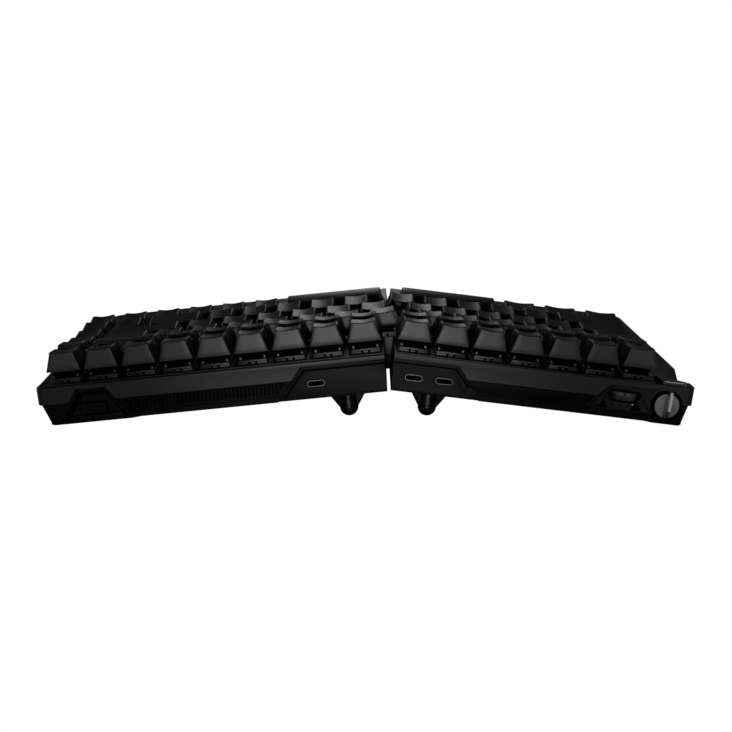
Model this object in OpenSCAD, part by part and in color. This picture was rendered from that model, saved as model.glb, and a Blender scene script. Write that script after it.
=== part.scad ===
// Ergonomic split keyboard, 75 percent layout, two tented halves.
// Row frame: +X is the user's right, +Y the rear, +Z up, and the table is at z = 0.
// Each half is drawn in its own deck frame first. There x runs outward from the inner end of
// the key grid, y = 0 is the rear base edge of the rear key row, and z = 0 is the level of the
// keycaps' lower edges. The left half is the mirror image of that frame.

/* [Stance] */
// Slope of the deck towards the user, in degrees
typing_angle = 3.05; // [0:0.05:7]
// Slope of the right half, outward and down, in degrees
tent_right = 5.89; // [4:0.01:9]
// Slope of the left half, outward and down, in degrees
tent_left = 7.03; // [4:0.01:9]
// Space between the key grids of the two halves
half_gap = 5.98; // [3:0.01:20]

/* [Key grid] */
// Distance between key centres
key_spacing = 19.05; // [18.8:0.01:19.3]
// Width and depth of a single keycap at its base
cap_base = 18.1; // [17.9:0.01:18.3]
// Width of a single keycap at its top
cap_top_width = 12.4; // [11.8:0.1:12.8]
// Depth of a keycap at its top
cap_top_depth = 13.4; // [13:0.1:14]
// How far the rear face of a keycap leans in
cap_rear_lean = 0.5; // [0.3:0.1:1]
// Wall of a keycap
cap_wall = 1.25; // [1.1:0.05:1.3]
// Depth of the dish in a keycap's top
dish_depth = 0.93; // [0.6:0.01:1]
// Rise of the space bars' domed tops
dome_rise = 1.2; // [0.8:0.1:1.4]
// Height of the hollow inside a keycap
cap_hollow = 4.7; // [4.5:0.05:4.75]
// Height of the rear top edge of keys in row 1, the rear row
rear_height_1 = 10.35; // [10:0.05:10.8]
// Height of the rear top edge of keys in row 2
rear_height_2 = 10.35; // [10:0.05:10.8]
// Height of the rear top edge of keys in row 3
rear_height_3 = 7.65; // [7.4:0.05:8]
// Height of the rear top edge of keys in row 4
rear_height_4 = 6.6; // [6.55:0.05:7]
// Height of the rear top edge of keys in row 5
rear_height_5 = 7.05; // [6.8:0.05:7.3]
// Height of the rear top edge of keys in row 6
rear_height_6 = 7.05; // [6.8:0.05:7.3]
// How much lower than its rear edge the front top edge of a key in row 1 is
top_fall_1 = 0.7; // [0.4:0.1:1]
// How much lower the front top edge is in row 2
top_fall_2 = 0.7; // [0.4:0.1:1]
// How much lower the front top edge is in row 3, below zero where it is higher
top_fall_3 = -0.5; // [-0.8:0.1:-0.2]
// How much lower the front top edge is in row 4, below zero where it is higher
top_fall_4 = -1.7; // [-2:0.1:-1.4]
// How much lower the front top edge is in row 5, below zero where it is higher
top_fall_5 = -2.5; // [-2.8:0.1:-2.2]
// How much lower the front top edge is in row 6, below zero where it is higher
top_fall_6 = -2.5; // [-2.8:0.1:-2.2]

/* [Switches] */
// Travel of a key
key_travel = 3.5; // [3:0.1:3.5]
// Depth of the switch plate's top below the keycaps' lower edges
plate_depth = 6.1; // [6.1:0.05:6.5]
// Thickness of the switch plate
plate_thick = 1.5; // [1.2:0.1:1.8]
// Width of a switch housing below the plate
housing_body = 13.9; // [13.7:0.05:13.95]
// Width of a switch housing's flange
housing_flange = 15.6; // [15.2:0.1:15.7]
// Thickness of a switch housing's flange
flange_thick = 1.1; // [1:0.1:1.2]
// Width of the skirt that stands on the flange
housing_skirt = 15.2; // [14.9:0.1:15.2]
// Height of the skirt
skirt_tall = 1.2; // [1:0.05:1.25]
// Width of a switch housing's upper part at its foot
housing_waist = 14; // [13.6:0.1:14]
// Width of a switch housing at its top
housing_top = 11; // [10.6:0.1:11.2]
// Height of a switch housing above the plate
housing_tall = 6.6; // [6.5:0.05:6.65]
// Depth of a switch housing below the plate's top
housing_deep = 5; // [4.8:0.1:5.2]
// Floor of a switch housing
housing_floor = 1; // [0.8:0.1:1.2]
// Width of the slider in a switch
slider_width = 6.4; // [6.2:0.1:6.5]
// Height of the slider in a switch
slider_tall = 5; // [4.6:0.1:5.2]
// Height of the cross on the slider
cross_tall = 3.6; // [3.4:0.1:3.7]
// Length of the cross's arms, tip to tip
cross_span = 4; // [3.9:0.05:4.05]
// Thickness of the cross's arms
cross_thick = 1.17; // [1.1:0.01:1.2]
// Diameter of the round post inside a keycap
post_dia = 5.5; // [5.4:0.1:5.8]

/* [Stabilisers] */
// Half spacing of the stabilisers under keys of 2 to 2.25 units
stab_reach = 11.94; // [11.5:0.01:12.3]
// Half spacing of the stabilisers under a space bar
stab_reach_space = 19.05; // [18:0.05:21]
// Width of a stabiliser's housing
stab_wide = 6; // [5.8:0.1:6.2]
// Reach of a stabiliser's housing behind its key's centre line
stab_rear = 6; // [5.5:0.1:6.4]
// Height of a stabiliser's housing above the plate
stab_tall = 2.4; // [2:0.1:2.4]
// Width of a stabiliser's foot
stab_foot_wide = 3.6; // [3.2:0.1:3.8]
// Depth of a stabiliser's foot
stab_foot_long = 6; // [5.5:0.1:6.4]
// Diameter of a stabiliser's wire
stab_wire_dia = 1.6; // [1.4:0.1:1.7]

/* [Case] */
// Case beyond the outer edge of the right half's key grid
right_margin = 5.05; // [4:0.05:6]
// Width of the wing outside the left half's key grid
left_wing = 19.1; // [18.8:0.1:20.5]
// Case beyond the keycaps' rear base edge
rear_margin = 5; // [4.8:0.1:5.2]
// Case beyond the front edge of the key grid
front_margin = 5; // [4:0.1:8]
// Case set back from the grid's stepped inner edge
inner_inset = 0.35; // [0.2:0.01:0.45]
// How far the upper frame's top lies below the switch plate's top
rim_drop = 0.25; // [0.2:0.05:0.5]
// Upper frame's reach below the foam
under_foam = 1.25; // [1:0.05:1.5]
// Width of the rim round the plate at the outer, rear and front edges
rim_wide = 1.6; // [1.4:0.1:1.8]
// Width of the rim round the plate at the inner edges
rim_inner = 1; // [0.9:0.05:1.05]
// Width of the ledge that the plate lies on
ledge = 0.8; // [0.6:0.05:0.9]
// Radius of the case's outer corners
corner_radius = 4; // [3:0.5:6]
// Height of the lower case at its front edge
front_tall = 3.7; // [3.4:0.1:4.2]
// Lower case set in from the frame at the rear and front sides
tuck = 1.2; // [1:0.1:1.4]
// Lower case set in from the frame at the outer end
tuck_outer = 2.2; // [1.8:0.1:2.4]
// Lower case set in from the frame at the inner edges
tuck_inner = 0.3; // [0.2:0.05:0.4]
// Wall of the lower case
case_wall = 1.8; // [1.6:0.1:1.9]
// Floor of the lower case
case_floor = 2; // [1.8:0.1:2.1]
// Lean of the right lower case's outer end, from its top to the underside
right_flank_lean = 3.7; // [3:0.1:4.5]
// Lean of the left lower case's outer end, from its top to the underside
left_flank_lean = 2.4; // [2:0.1:3]
// Height of the sill along the foot of the rear face
sill_tall = 2.6; // [2:0.1:2.8]
// How far the sill stands out from the rear wall
sill_out = 1; // [0.8:0.1:1.1]

/* [Boards] */
// Thickness of the circuit boards
board_thick = 1.6; // [1.2:0.1:1.6]
// Circuit board set in from the plate's edge
board_inset = 1.4; // [1.3:0.1:2]
// Thickness of the foam sheet
foam_thick = 1.4; // [1:0.1:1.5]
// Length of the battery
battery_long = 50; // [40:1:50]
// Width of the battery
battery_wide = 38; // [30:1:40]
// Thickness of the battery
battery_thick = 4.4; // [3.5:0.1:4.5]
// Diameter of the posts that carry the circuit board
standoff_dia = 4.2; // [3.8:0.1:4.4]
// Diameter of the board screws' shanks
screw_dia = 2; // [1.8:0.1:2.2]
// Diameter of the board screws' heads
screw_head_dia = 3.8; // [3.5:0.1:4]
// Height of the board screws' heads
screw_head_tall = 1.3; // [1:0.1:1.5]
// Length of the board screws' shanks
screw_long = 3.4; // [3:0.1:3.6]

/* [Rear panels] */
// Depth of the top edge of the rear panels
panel_top = 9.1; // [8.8:0.1:9.4]
// Height of the lower edges of the port panels and of the bay above the underside
panel_lift = 1.1; // [0.9:0.1:1.5]
// Thickness of the rear panels
panel_thick = 2.6; // [2.2:0.1:2.8]
// Set-back of the rear panels from the frame's rear face
panel_back = 0.4; // [0.3:0.1:0.6]
// Top width of the right port panel
right_port_top = 42.2; // [42:0.1:43]
// Bottom width of the right port panel
right_port_low = 54.6; // [54:0.1:55]
// Top width of the left port panel
left_port_top = 32.6; // [32:0.1:34]
// Bottom width of the left port panel
left_port_low = 45; // [44:0.1:46]
// Place of the right port along the half
right_usb_x = 35.8; // [35:0.1:36.5]
// Place of the left half's inner port along the half
left_usb_x1 = 11.3; // [10:0.1:12]
// Place of the left half's outer port along the half
left_usb_x2 = 26.6; // [26:0.1:27]
// Height of the ports' centres above the port panels' lower edges
usb_lift = 6.5; // [6.2:0.1:6.8]
// Width of a port's shell
usb_wide = 9; // [8.94:0.01:9.2]
// Height of a port's shell
usb_tall = 3.3; // [3.26:0.01:3.4]
// Length of a port's shell
usb_long = 7.3; // [6.5:0.1:8]
// Wall of a port's shell
usb_wall = 0.35; // [0.3:0.01:0.4]
// Height of the ribbed strip and of the name strip
strip_tall = 5.4; // [5:0.1:5.6]
// Thickness of the two strips
strip_thick = 0.5; // [0.4:0.1:0.6]
// Depth of the strips' top edges
strip_top = 16.1; // [16:0.1:16.3]
// Number of ribs on the ribbed strip
rib_count = 37; // [30:1:40]
// Width of a rib
rib_wide = 1.1; // [0.8:0.1:1.3]
// How far a rib stands out
rib_out = 0.7; // [0.4:0.1:0.8]

/* [Receiver] */
// Centre of the receiver's bay along the right half
bay_x = 148.6; // [148:0.1:149.5]
// Top width of the bay's rim
bay_top = 13.6; // [13:0.1:15]
// Bottom width of the bay's rim
bay_low = 36.8; // [34:0.1:36.8]
// Width of the bay's rim
bay_rim = 1.8; // [1.6:0.1:2]
// Depth of the receiver's centre line
receiver_depth = 19.4; // [19.2:0.1:19.6]
// Width of the receiver's grip
grip_wide = 12.4; // [12.2:0.1:12.6]
// Height of the receiver's grip
grip_tall = 5.3; // [5:0.1:5.4]
// Width of the receiver's plug
plug_wide = 12; // [11.8:0.1:12.1]
// Height of the receiver's plug
plug_tall = 4; // [3.8:0.1:4]
// Length of the receiver's plug
plug_long = 11; // [10:0.5:12]

/* [Controls] */
// Place of the knob along the left half
knob_x = 139.3; // [139.2:0.05:139.5]
// Depth of the knob's centre
knob_depth = 16.75; // [16.7:0.05:16.9]
// Radius of the knob's disc
knob_radius = 6.15; // [6:0.05:6.2]
// Thickness of the knob's disc
knob_disc = 1.8; // [1.6:0.1:2]
// Width of the knob's finger bar at its foot
bar_wide = 3; // [2.6:0.1:3.4]
// Width of the finger bar at its crest
bar_crest = 1.5; // [1.2:0.1:2]
// How far the finger bar stands out of the rear face
bar_out = 6; // [5:0.1:7]
// How far the bar's nose reaches past the disc
bar_nose = 2.05; // [1.8:0.05:2.5]
// Radius of the knob's shaft
shaft_radius = 3; // [2.8:0.05:3.1]
// Outer radius of the cup that the knob turns in
cup_radius = 7.9; // [7.6:0.05:8]
// Wall of the cup
cup_wall = 1.2; // [1:0.05:1.3]
// Floor of the cup
cup_floor = 1.5; // [1.3:0.1:1.6]
// Width of the encoder behind the knob
encoder_wide = 11; // [10:0.5:11.5]
// Length of the encoder behind the knob
encoder_long = 6.5; // [6:0.5:7]
// Centre of the mode panel's window along the left half
window_x = 117.3; // [117:0.1:117.5]
// Depth of the window's centre line
window_depth = 14.7; // [14.6:0.1:14.8]
// Height of the window
window_tall = 4.4; // [4:0.1:4.6]
// Top width of the window
window_top = 15.4; // [14.8:0.1:15.6]
// Bottom width of the window
window_low = 10.2; // [9.8:0.1:10.4]
// Travel of the mode slider each way from its middle position
mode_travel = 1.6; // [1.2:0.1:1.6]
// Length of the function button along the half
button_wide = 13; // [12:0.1:13.2]
// Depth of the function button's top below the keycaps' lower edges
button_top = 4.1; // [4:0.1:4.3]
// Depth of the function button, front to rear
button_long = 21; // [19:0.5:22]
// Travel of the function button
button_travel = 0.25; // [0.2:0.05:0.25]
// Distance of the finger scoop's rear end from the rear face
scoop_start = 13; // [12:0.5:14]
// Depth of the finger scoop's floor
scoop_depth = 12; // [11.8:0.1:12.2]
// Length of the finger scoop, front to rear
scoop_long = 21; // [20:0.5:25]
// Length of the ramp at the front of the scoop
scoop_ramp = 13; // [10:0.5:15]

/* [Feet] */
// Diameter of a tenting leg
leg_dia = 8.7; // [8:0.1:9.2]
// Diameter of the ball at a leg's tip
leg_ball = 9.6; // [9.2:0.1:10]
// Width of a leg across its two webs, at the case
leg_web = 25; // [22:0.5:27]
// Thickness of a leg's webs
web_thick = 2.2; // [1.8:0.1:2.8]
// Place of the legs along each half
leg_x = 21.5; // [20:0.1:23]
// Place of the rear leg behind the rear edge
rear_leg_y = 15.5; // [14:0.5:18]
// Place of the front leg behind the rear edge
front_leg_y = 100; // [98:0.5:103]
// Diameter of the pin that plugs a leg in
leg_pin_dia = 5; // [4.5:0.1:5.5]
// Length of that pin
leg_pin_long = 3.4; // [3:0.1:3.6]
// Height of the pads that carry the rubber strips
pad_tall = 1.15; // [0.9:0.05:1.4]
// Length of a pad, front to rear
pad_long = 17.8; // [16:0.2:20]
// Length of the ramp at a pad's inner end
pad_ramp = 12; // [8:0.5:14]
// Inner end of the right half's outer pads
right_pad_x = 130; // [125:0.5:135]
// Inner end of the left half's outer pads
left_pad_x = 134; // [130:0.5:136]
// Height of a rubber strip below its pad
foot_tall = 0.4; // [0.35:0.05:0.8]
// Width of a rubber strip
foot_wide = 9; // [8:0.5:10]
// Outer end of the rubber strips, in from the pads' outer edge
foot_inset = 0.2; // [0.1:0.1:1]
// Place of the front rubber strip, back from the front edge
foot_front = 13; // [12:0.5:15]
// Place of the rear rubber strip, in from the rear edge
foot_rear = 12; // [11:0.5:14]

/* [Palm rests] */
// Length of a palm rest, front to rear
rest_long = 84; // [60:1:90]
// Wall of a palm rest
rest_wall = 2.5; // [2:0.1:3]
// Radius of a palm rest's outer front corner
rest_radius = 9; // [5:0.5:12]
// Diameter of the pins that hold a palm rest
rest_pin_dia = 3; // [2.6:0.1:3.2]
// Length of those pins
rest_pin_long = 1.8; // [1.5:0.1:2]
// Depth of those pins below the keycaps' lower edges
rest_pin_depth = 11; // [10:0.1:12]
// Place of those pins, in from each end of a rest
rest_pin_inset = 20; // [15:0.5:30]

/* [Hidden] */
$fn = 48;
dish_segments = 240;
cut = 1;
big = 400;
fit = 0.05;
gap = 0.15;
run_gap = 0.35;
key_gap = 0.3;

rows = 6;
cap_gap = key_spacing - cap_base;
grid_rear = cap_gap / 2;
grid_front = grid_rear - rows * key_spacing;
right_units = 9;
left_units = 7;
side_lean = (cap_base - cap_top_width) / 2;
front_lean = cap_base - cap_top_depth - cap_rear_lean;
rear_y = rear_margin;
front_y = grid_front - front_margin;
right_out = right_units * key_spacing + right_margin;
left_out = left_units * key_spacing + left_wing;

// Stepped inner edge of each row, in key units, from the rear row to the front row
right_edge_shares = [0, 0, -0.5, -0.25, 0.25, -0.125];
left_edge_shares = [for (share = right_edge_shares) -share];

rear_heights = [rear_height_1, rear_height_2, rear_height_3, rear_height_4, rear_height_5, rear_height_6];
top_falls = [top_fall_1, top_fall_2, top_fall_3, top_fall_4, top_fall_5, top_fall_6];

plate_z = -plate_depth;
plate_low = plate_z - plate_thick;
rim_depth = plate_depth + rim_drop;
rim_z = -rim_depth;
flange_z = plate_z + flange_thick;
skirt_z = flange_z + skirt_tall;
housing_z = plate_z + housing_tall;
housing_low = plate_z - housing_deep;
slider_low = housing_z - slider_tall;
board_top = housing_low;
board_low = board_top - board_thick;
foam_top = board_low - gap;
foam_low = foam_top - foam_thick;
frame_low = foam_low - under_foam;
frame_depth = -frame_low;
base_depth = front_tall + frame_depth * cos(typing_angle) - front_y * sin(typing_angle);
port_panel_low = base_depth - panel_lift;
bay_low_depth = port_panel_low;
usb_depth = port_panel_low - usb_lift;

// Each group of keys: row, first key's start in units, width in units, number of keys
right_keys = [[0, 0, 1, 9], [1, 0, 1, 6], [1, 8, 1, 1], [2, -0.5, 1, 7], [2, 8, 1, 1], [3, -0.25, 1, 6],
    [3, 8, 1, 1], [4, 0.25, 1, 5], [4, 7, 1, 2], [5, 3, 1, 6], [1, 6, 2, 1], [2, 6.5, 1.5, 1],
    [3, 5.75, 2.25, 1], [4, 5.25, 1.75, 1], [5, -0.125, 3.125, 1]];
left_keys = [[0, 0, 1, 7], [1, 0, 1, 7], [2, 0.5, 1, 5], [3, 0.25, 1, 5], [4, -0.25, 1, 5],
    [2, 5.5, 1.5, 1], [3, 5.25, 1.75, 1], [4, 4.75, 2.25, 1], [5, 3.25, 1.25, 3], [5, 0.125, 3.125, 1]];
stab_unit_min = 2;
space_unit_min = 3;

function row_y(row) = grid_rear - (row + 0.5) * key_spacing;
function key_x(key, n) = (key[1] + (n + 0.5) * key[2]) * key_spacing;
function key_places(keys) = [for (key = keys) for (n = [0:key[3] - 1]) [key_x(key, n), row_y(key[0])]];
function wide_keys(keys) = [for (key = keys) if (key[2] >= stab_unit_min) key];
function stab_reach_of(units) = units >= space_unit_min ? stab_reach_space : stab_reach;

// Outline of a half, set in by `inner` at the stepped edge and by `outer` elsewhere
function step_y(edges, row, inner) =
    grid_rear - (row + 1) * key_spacing + (edges[row + 1] > edges[row] ? 1 : -1) * inner;
function outline(edges, out, inner, outer) = concat(
    [[out - outer, front_y + outer], [out - outer, rear_y - outer],
        [edges[0] * key_spacing + inner, rear_y - outer]],
    [for (row = [0:rows - 2]) if (edges[row] != edges[row + 1]) each [
        [edges[row] * key_spacing + inner, step_y(edges, row, inner)],
        [edges[row + 1] * key_spacing + inner, step_y(edges, row, inner)]]],
    [[edges[rows - 1] * key_spacing + inner, front_y + outer]]);

// Stance of the halves over the table
function pad_end(out, lean) = out - tuck_outer - lean * (1 + pad_tall / (base_depth - frame_depth));
foot_end_right = pad_end(right_out, right_flank_lean) - foot_inset;
foot_end_left = pad_end(left_out, left_flank_lean) - foot_inset;
foot_sink = 0.25;
foot_depth = base_depth + pad_tall + foot_tall;
lift_right = foot_end_right * sin(tent_right) + (foot_depth - foot_sink) * cos(tent_right);
lift_left = foot_end_left * sin(tent_left) + (foot_depth - foot_sink) * cos(tent_left);
rim_rise = -rim_depth * cos(typing_angle) + rear_y * sin(typing_angle);
reach_right = right_out * cos(tent_right) + rim_rise * sin(tent_right);
reach_left = left_out * cos(tent_left) + rim_rise * sin(tent_left);
total_wide = reach_right + half_gap + reach_left;
bar_low_z = -knob_depth - bar_wide / 2;
reach_rear = (rear_y + bar_out) * cos(typing_angle) - bar_low_z * sin(typing_angle);
reach_front = (front_y - rest_long) * cos(typing_angle) + rim_depth * sin(typing_angle);
middle_y = (reach_rear + reach_front) / 2;

module place_right() {
    translate([total_wide / 2 - reach_right, -middle_y, lift_right])
        rotate([0, tent_right, 0]) children();
}
module place_left() {
    translate([reach_left - total_wide / 2, -middle_y, lift_left])
        rotate([0, -tent_left, 0]) mirror([1, 0, 0]) children();
}
module deck() { rotate([typing_angle, 0, 0]) children(); }
module from_base() { rotate([-typing_angle, 0, 0]) children(); }

// Everything above a level that is square to the legs and parallel to the underside
module above(depth) {
    from_base() translate([-big / 2, -big, -depth]) cube([big * 2, big * 2, big]);
}
module below_table() { translate([-big, -big, -big]) cube([big * 2, big * 2, big]); }

// A plate across the half, from an outline in x and z, between two depths of y
module rear_plate(points, y_front, y_back) {
    translate([0, y_back, 0]) rotate([90, 0, 0]) linear_extrude(y_back - y_front) polygon(points);
}
// Trapezoid prism: its section in x and z, running along y
module side_slab(x, base, top, low, high, y_front, y_back) {
    rear_plate([[x - base / 2, low], [x + base / 2, low], [x + top / 2, high], [x - top / 2, high]],
        y_front, y_back);
}
module block(x, y, low, wide, long, tall) {
    translate([x - wide / 2, y - long / 2, low]) cube([wide, long, tall]);
}
module slab(points, low, high) { translate([0, 0, low]) linear_extrude(high - low) polygon(points); }

// Rounding cutter for a vertical corner at the rear or the front of the outer end
module corner_cutter(out, y, side, radius, low, high) {
    difference() {
        translate([out - radius, side > 0 ? y - radius : y - cut, low])
            cube([radius + cut, radius + cut, high - low]);
        translate([out - radius, y - side * radius, low - cut])
            cylinder(r = radius, h = high - low + 2 * cut);
    }
}
module rounded_slab(edges, out, inner, outer, low, high) {
    radius = corner_radius - outer;
    difference() {
        slab(outline(edges, out, inner, outer), low, high);
        corner_cutter(out - outer, rear_y - outer, 1, radius, low - cut, high + cut);
        corner_cutter(out - outer, front_y + outer, -1, radius, low - cut, high + cut);
    }
}

// Keycap with its hollow, its post, and the switch slider that it is pressed onto
module cap_outer(units, row, domed) {
    wide = units * key_spacing - cap_gap;
    rear = rear_heights[row];
    front = rear - top_falls[row];
    top_wide = wide - 2 * side_lean;
    tall = max(rear, front) + (domed ? dome_rise : 0);
    tilt = atan(top_falls[row] / cap_top_depth);
    dish_radius = (top_wide * top_wide / 4 + dish_depth * dish_depth) / (2 * dish_depth);
    dome_radius = (cap_top_depth * cap_top_depth / 4 + dome_rise * dome_rise) / (2 * dome_rise);
    lean_share = tall / rear;
    intersection() {
        difference() {
            side_slab(0, wide, wide - 2 * side_lean * lean_share, 0, tall, -cap_base / 2, cap_base / 2);
            if (!domed) translate([0, cap_base / 2 - cap_rear_lean, rear - dish_depth + dish_radius])
                rotate([90 + tilt, 0, 0]) translate([0, 0, -cap_base])
                    cylinder(r = dish_radius, h = 3 * cap_base, $fn = dish_segments);
        }
        translate([-wide / 2 - cut, 0, 0]) rotate([90, 0, 90]) linear_extrude(wide + 2 * cut) polygon([
            [-cap_base / 2, 0], [cap_base / 2, 0],
            [cap_base / 2 - cap_rear_lean * lean_share, rear * lean_share],
            [-cap_base / 2 + front_lean * lean_share, front * lean_share]]);
        if (domed) translate([-wide / 2 - cut, cap_base / 2 - cap_rear_lean - cap_top_depth / 2,
            (rear + front) / 2 + dome_rise - dome_radius])
            rotate([0, 90, 0]) cylinder(r = dome_radius, h = wide + 2 * cut, $fn = dish_segments);
    }
}
module cap_hollow_shape(units, row) {
    wide = units * key_spacing - cap_gap - 2 * cap_wall;
    rear = rear_heights[row];
    rear_slope = cap_rear_lean / rear;
    front_slope = front_lean / (rear - top_falls[row]);
    inner_half = cap_base / 2 - cap_wall;
    intersection() {
        side_slab(0, wide + 2 * side_lean * cut / rear, wide - 2 * side_lean * cap_hollow / rear,
            -cut, cap_hollow, -cap_base, cap_base);
        translate([-wide / 2 - cut, 0, 0]) rotate([90, 0, 90]) linear_extrude(wide + 2 * cut) polygon([
            [-inner_half - front_slope * cut, -cut], [inner_half + rear_slope * cut, -cut],
            [inner_half - rear_slope * cap_hollow, cap_hollow],
            [front_slope * cap_hollow - inner_half, cap_hollow]]);
    }
}
module cross(span, thick, low, tall) {
    block(0, 0, low, span, thick, tall);
    block(0, 0, low, thick, span, tall);
}
module cap_post() {
    difference() {
        translate([0, 0, housing_z + key_gap])
            cylinder(d = post_dia, h = cap_hollow - housing_z - key_gap + fit);
        cross(cross_span + 2 * fit, cross_thick + 2 * fit, housing_z - cut, cross_tall + cut + fit);
    }
}
module slider() {
    block(0, 0, slider_low, slider_width, slider_width, slider_tall);
    cross(cross_span, cross_thick, housing_z - fit, cross_tall);
}
module stab_foot() {
    foot_low = plate_z - housing_deep + housing_floor + key_travel + key_gap;
    block(0, 0, foot_low, stab_foot_wide, stab_foot_long, cap_hollow - foot_low + fit);
}
module keycap(units, row, domed = false) {
    difference() {
        cap_outer(units, row, domed);
        cap_hollow_shape(units, row);
    }
    cap_post();
    if (units >= stab_unit_min) for (side = [-1, 1])
        translate([side * stab_reach_of(units), 0, 0]) stab_foot();
}
module keys(list) {
    for (key = list) for (n = [0:key[3] - 1]) translate([key_x(key, n), row_y(key[0]), 0]) {
        keycap(key[2], key[0], key[2] >= space_unit_min);
        slider();
    }
}
function row_keys(list, row) = [for (key = list) if (key[0] == row && key[2] == 1) key];
function named_key(list, row) = [for (key = list) if (key[0] == row && key[2] > 1) key];
function space_key(list) = [for (key = list) if (key[2] >= space_unit_min) key];

// Switch housings and stabilisers
module switch_housing() {
    difference() {
        union() {
            block(0, 0, housing_low, housing_body, housing_body, housing_deep);
            block(0, 0, plate_z, housing_flange, housing_flange, flange_thick);
            block(0, 0, flange_z, housing_skirt, housing_skirt, skirt_tall);
            intersection() {
                side_slab(0, housing_waist, housing_top, skirt_z, housing_z, -housing_waist, housing_waist);
                rotate([0, 0, 90]) side_slab(0, housing_waist, housing_top, skirt_z, housing_z,
                    -housing_waist, housing_waist);
            }
        }
        block(0, 0, housing_low + housing_floor, slider_width + key_gap, slider_width + key_gap,
            housing_deep + housing_tall);
    }
}
wire_y = -(housing_body + stab_wire_dia) / 2 - gap;
module stabilizer(units) {
    reach = stab_reach_of(units);
    foot_hole = 2 * key_gap;
    low = plate_z - housing_deep;
    for (side = [-1, 1]) translate([side * reach, 0, 0]) difference() {
        block(0, (stab_rear + wire_y) / 2, low, stab_wide, stab_rear - wire_y, housing_deep + stab_tall);
        block(0, 0, low + housing_floor, stab_foot_wide + foot_hole, stab_foot_long + foot_hole,
            housing_deep + stab_tall);
    }
    translate([-reach - stab_wide / 2, wire_y, low + stab_wire_dia]) rotate([0, 90, 0])
        cylinder(d = stab_wire_dia, h = 2 * reach + stab_wide);
}
module stabilizers(list) {
    for (key = wide_keys(list)) translate([key_x(key, 0), row_y(key[0]), 0]) stabilizer(key[2]);
}
module plate_holes(list, low, high) {
    for (place = key_places(list)) translate(place)
        block(0, 0, low, housing_body + 2 * fit, housing_body + 2 * fit, high - low);
    for (key = wide_keys(list)) for (side = [-1, 1])
        translate([key_x(key, 0) + side * stab_reach_of(key[2]), row_y(key[0]), 0])
            block(0, (stab_rear + wire_y) / 2, low, stab_wide + 2 * gap, stab_rear - wire_y + 2 * gap,
                high - low);
}
module switch_plate(edges, out, list) {
    difference() {
        rounded_slab(edges, out, inner_inset + rim_inner + gap, rim_wide + gap, plate_low, plate_z);
        plate_holes(list, plate_low - cut, plate_z + cut);
    }
}
// Board screws sit between the rows, at whole-unit steps along the half: step, row above
right_screws = [[1, 0], [8, 0], [4, 1], [3, 4], [8, 3], [7, 5]];
left_screws = [[1, 0], [6, 0], [3, 1], [6, 2], [2, 4]];
function screw_places(list) =
    [for (s = list) [s[0] * key_spacing, grid_rear - min(s[1] + 1, rows - 1) * key_spacing]];
module board(edges, out, list) {
    inset = inner_inset + rim_inner + gap + board_inset;
    difference() {
        slab(outline(edges, out, inset, rim_wide + gap + board_inset), board_low, board_top);
        for (place = screw_places(list)) translate([place[0], place[1], board_low - cut])
            cylinder(d = screw_dia + 2 * gap, h = board_thick + 2 * cut);
    }
}
module foam_sheet(edges, out, list) {
    inset = inner_inset + rim_inner + gap + 2 * board_inset;
    difference() {
        slab(outline(edges, out, inset, rim_wide + gap + 2 * board_inset), foam_low, foam_top);
        for (place = screw_places(list)) translate([place[0], place[1], foam_low - cut])
            cylinder(d = standoff_dia + 4 * gap, h = foam_thick + 2 * cut);
    }
}
module board_screws(list) {
    for (place = screw_places(list)) translate(place) {
        translate([0, 0, board_top]) cylinder(d = screw_head_dia, h = screw_head_tall);
        translate([0, 0, board_top - screw_long]) cylinder(d = screw_dia, h = screw_long + fit);
    }
}

// Case shells
module frame_shell(edges, out, room) {
    difference() {
        rounded_slab(edges, out, inner_inset, 0, frame_low, rim_z);
        rounded_slab(edges, room, inner_inset + rim_inner, rim_wide, plate_low, rim_z + cut);
        rounded_slab(edges, room, inner_inset + rim_inner + ledge, rim_wide + ledge, frame_low - cut, rim_z);
        rest_pins(edges, out, fit, gap);
    }
}
module tub_outer(edges, out, lean, extra) {
    intersection() {
        slab(outline(edges, out, inner_inset + tuck_inner + extra, tuck + extra), -big / 2, frame_low
            + (extra > 0 ? cut : 0));
        rear_plate([[-big / 2, big], [-big / 2, -big / 2], [out - tuck - extra - lean * big / 2
            / (base_depth - frame_depth), -big / 2 + frame_low], [out - tuck - extra, frame_low],
            [out - tuck - extra, big]], front_y - cut, rear_y + cut);
    }
}
module tub(edges, out, lean, list, sill_x, pad_x) {
    end = out - tuck_outer + tuck;
    difference() {
        intersection() {
            union() {
                tub_outer(edges, end, lean, 0);
                translate([sill_x, rear_y - tuck - cut, -base_depth - cut])
                    cube([end - tuck - lean - sill_x, cut + sill_out, sill_tall + cut]);
            }
            above(base_depth);
        }
        intersection() {
            tub_outer(edges, end, lean, case_wall);
            above(base_depth - case_floor);
        }
        leg_sockets(0);
    }
    foot_pads(out, lean, pad_x);
    difference() {
        intersection() {
            union() {
                for (place = screw_places(list)) translate([place[0], place[1], -base_depth])
                    cylinder(d = standoff_dia, h = base_depth + board_low);
                leg_bosses();
            }
            above(base_depth - case_floor + fit);
        }
        for (place = screw_places(list)) translate([place[0], place[1], board_top - screw_long - gap])
            cylinder(d = screw_dia + 2 * fit, h = screw_long);
        leg_sockets(0);
    }
}
module foot_pads(out, lean, pad_x) {
    end = pad_end(out, lean);
    foot = out - tuck_outer - lean;
    for (y = [rear_y - tuck - pad_long, front_y + tuck]) from_base()
        rear_plate([[pad_x - pad_ramp, -base_depth + fit], [pad_x, -base_depth - pad_tall],
            [end, -base_depth - pad_tall], [foot, -base_depth + fit]], y, y + pad_long);
}
leg_ys = [-rear_leg_y, -front_leg_y];
socket_deep = leg_pin_long + gap;
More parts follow.
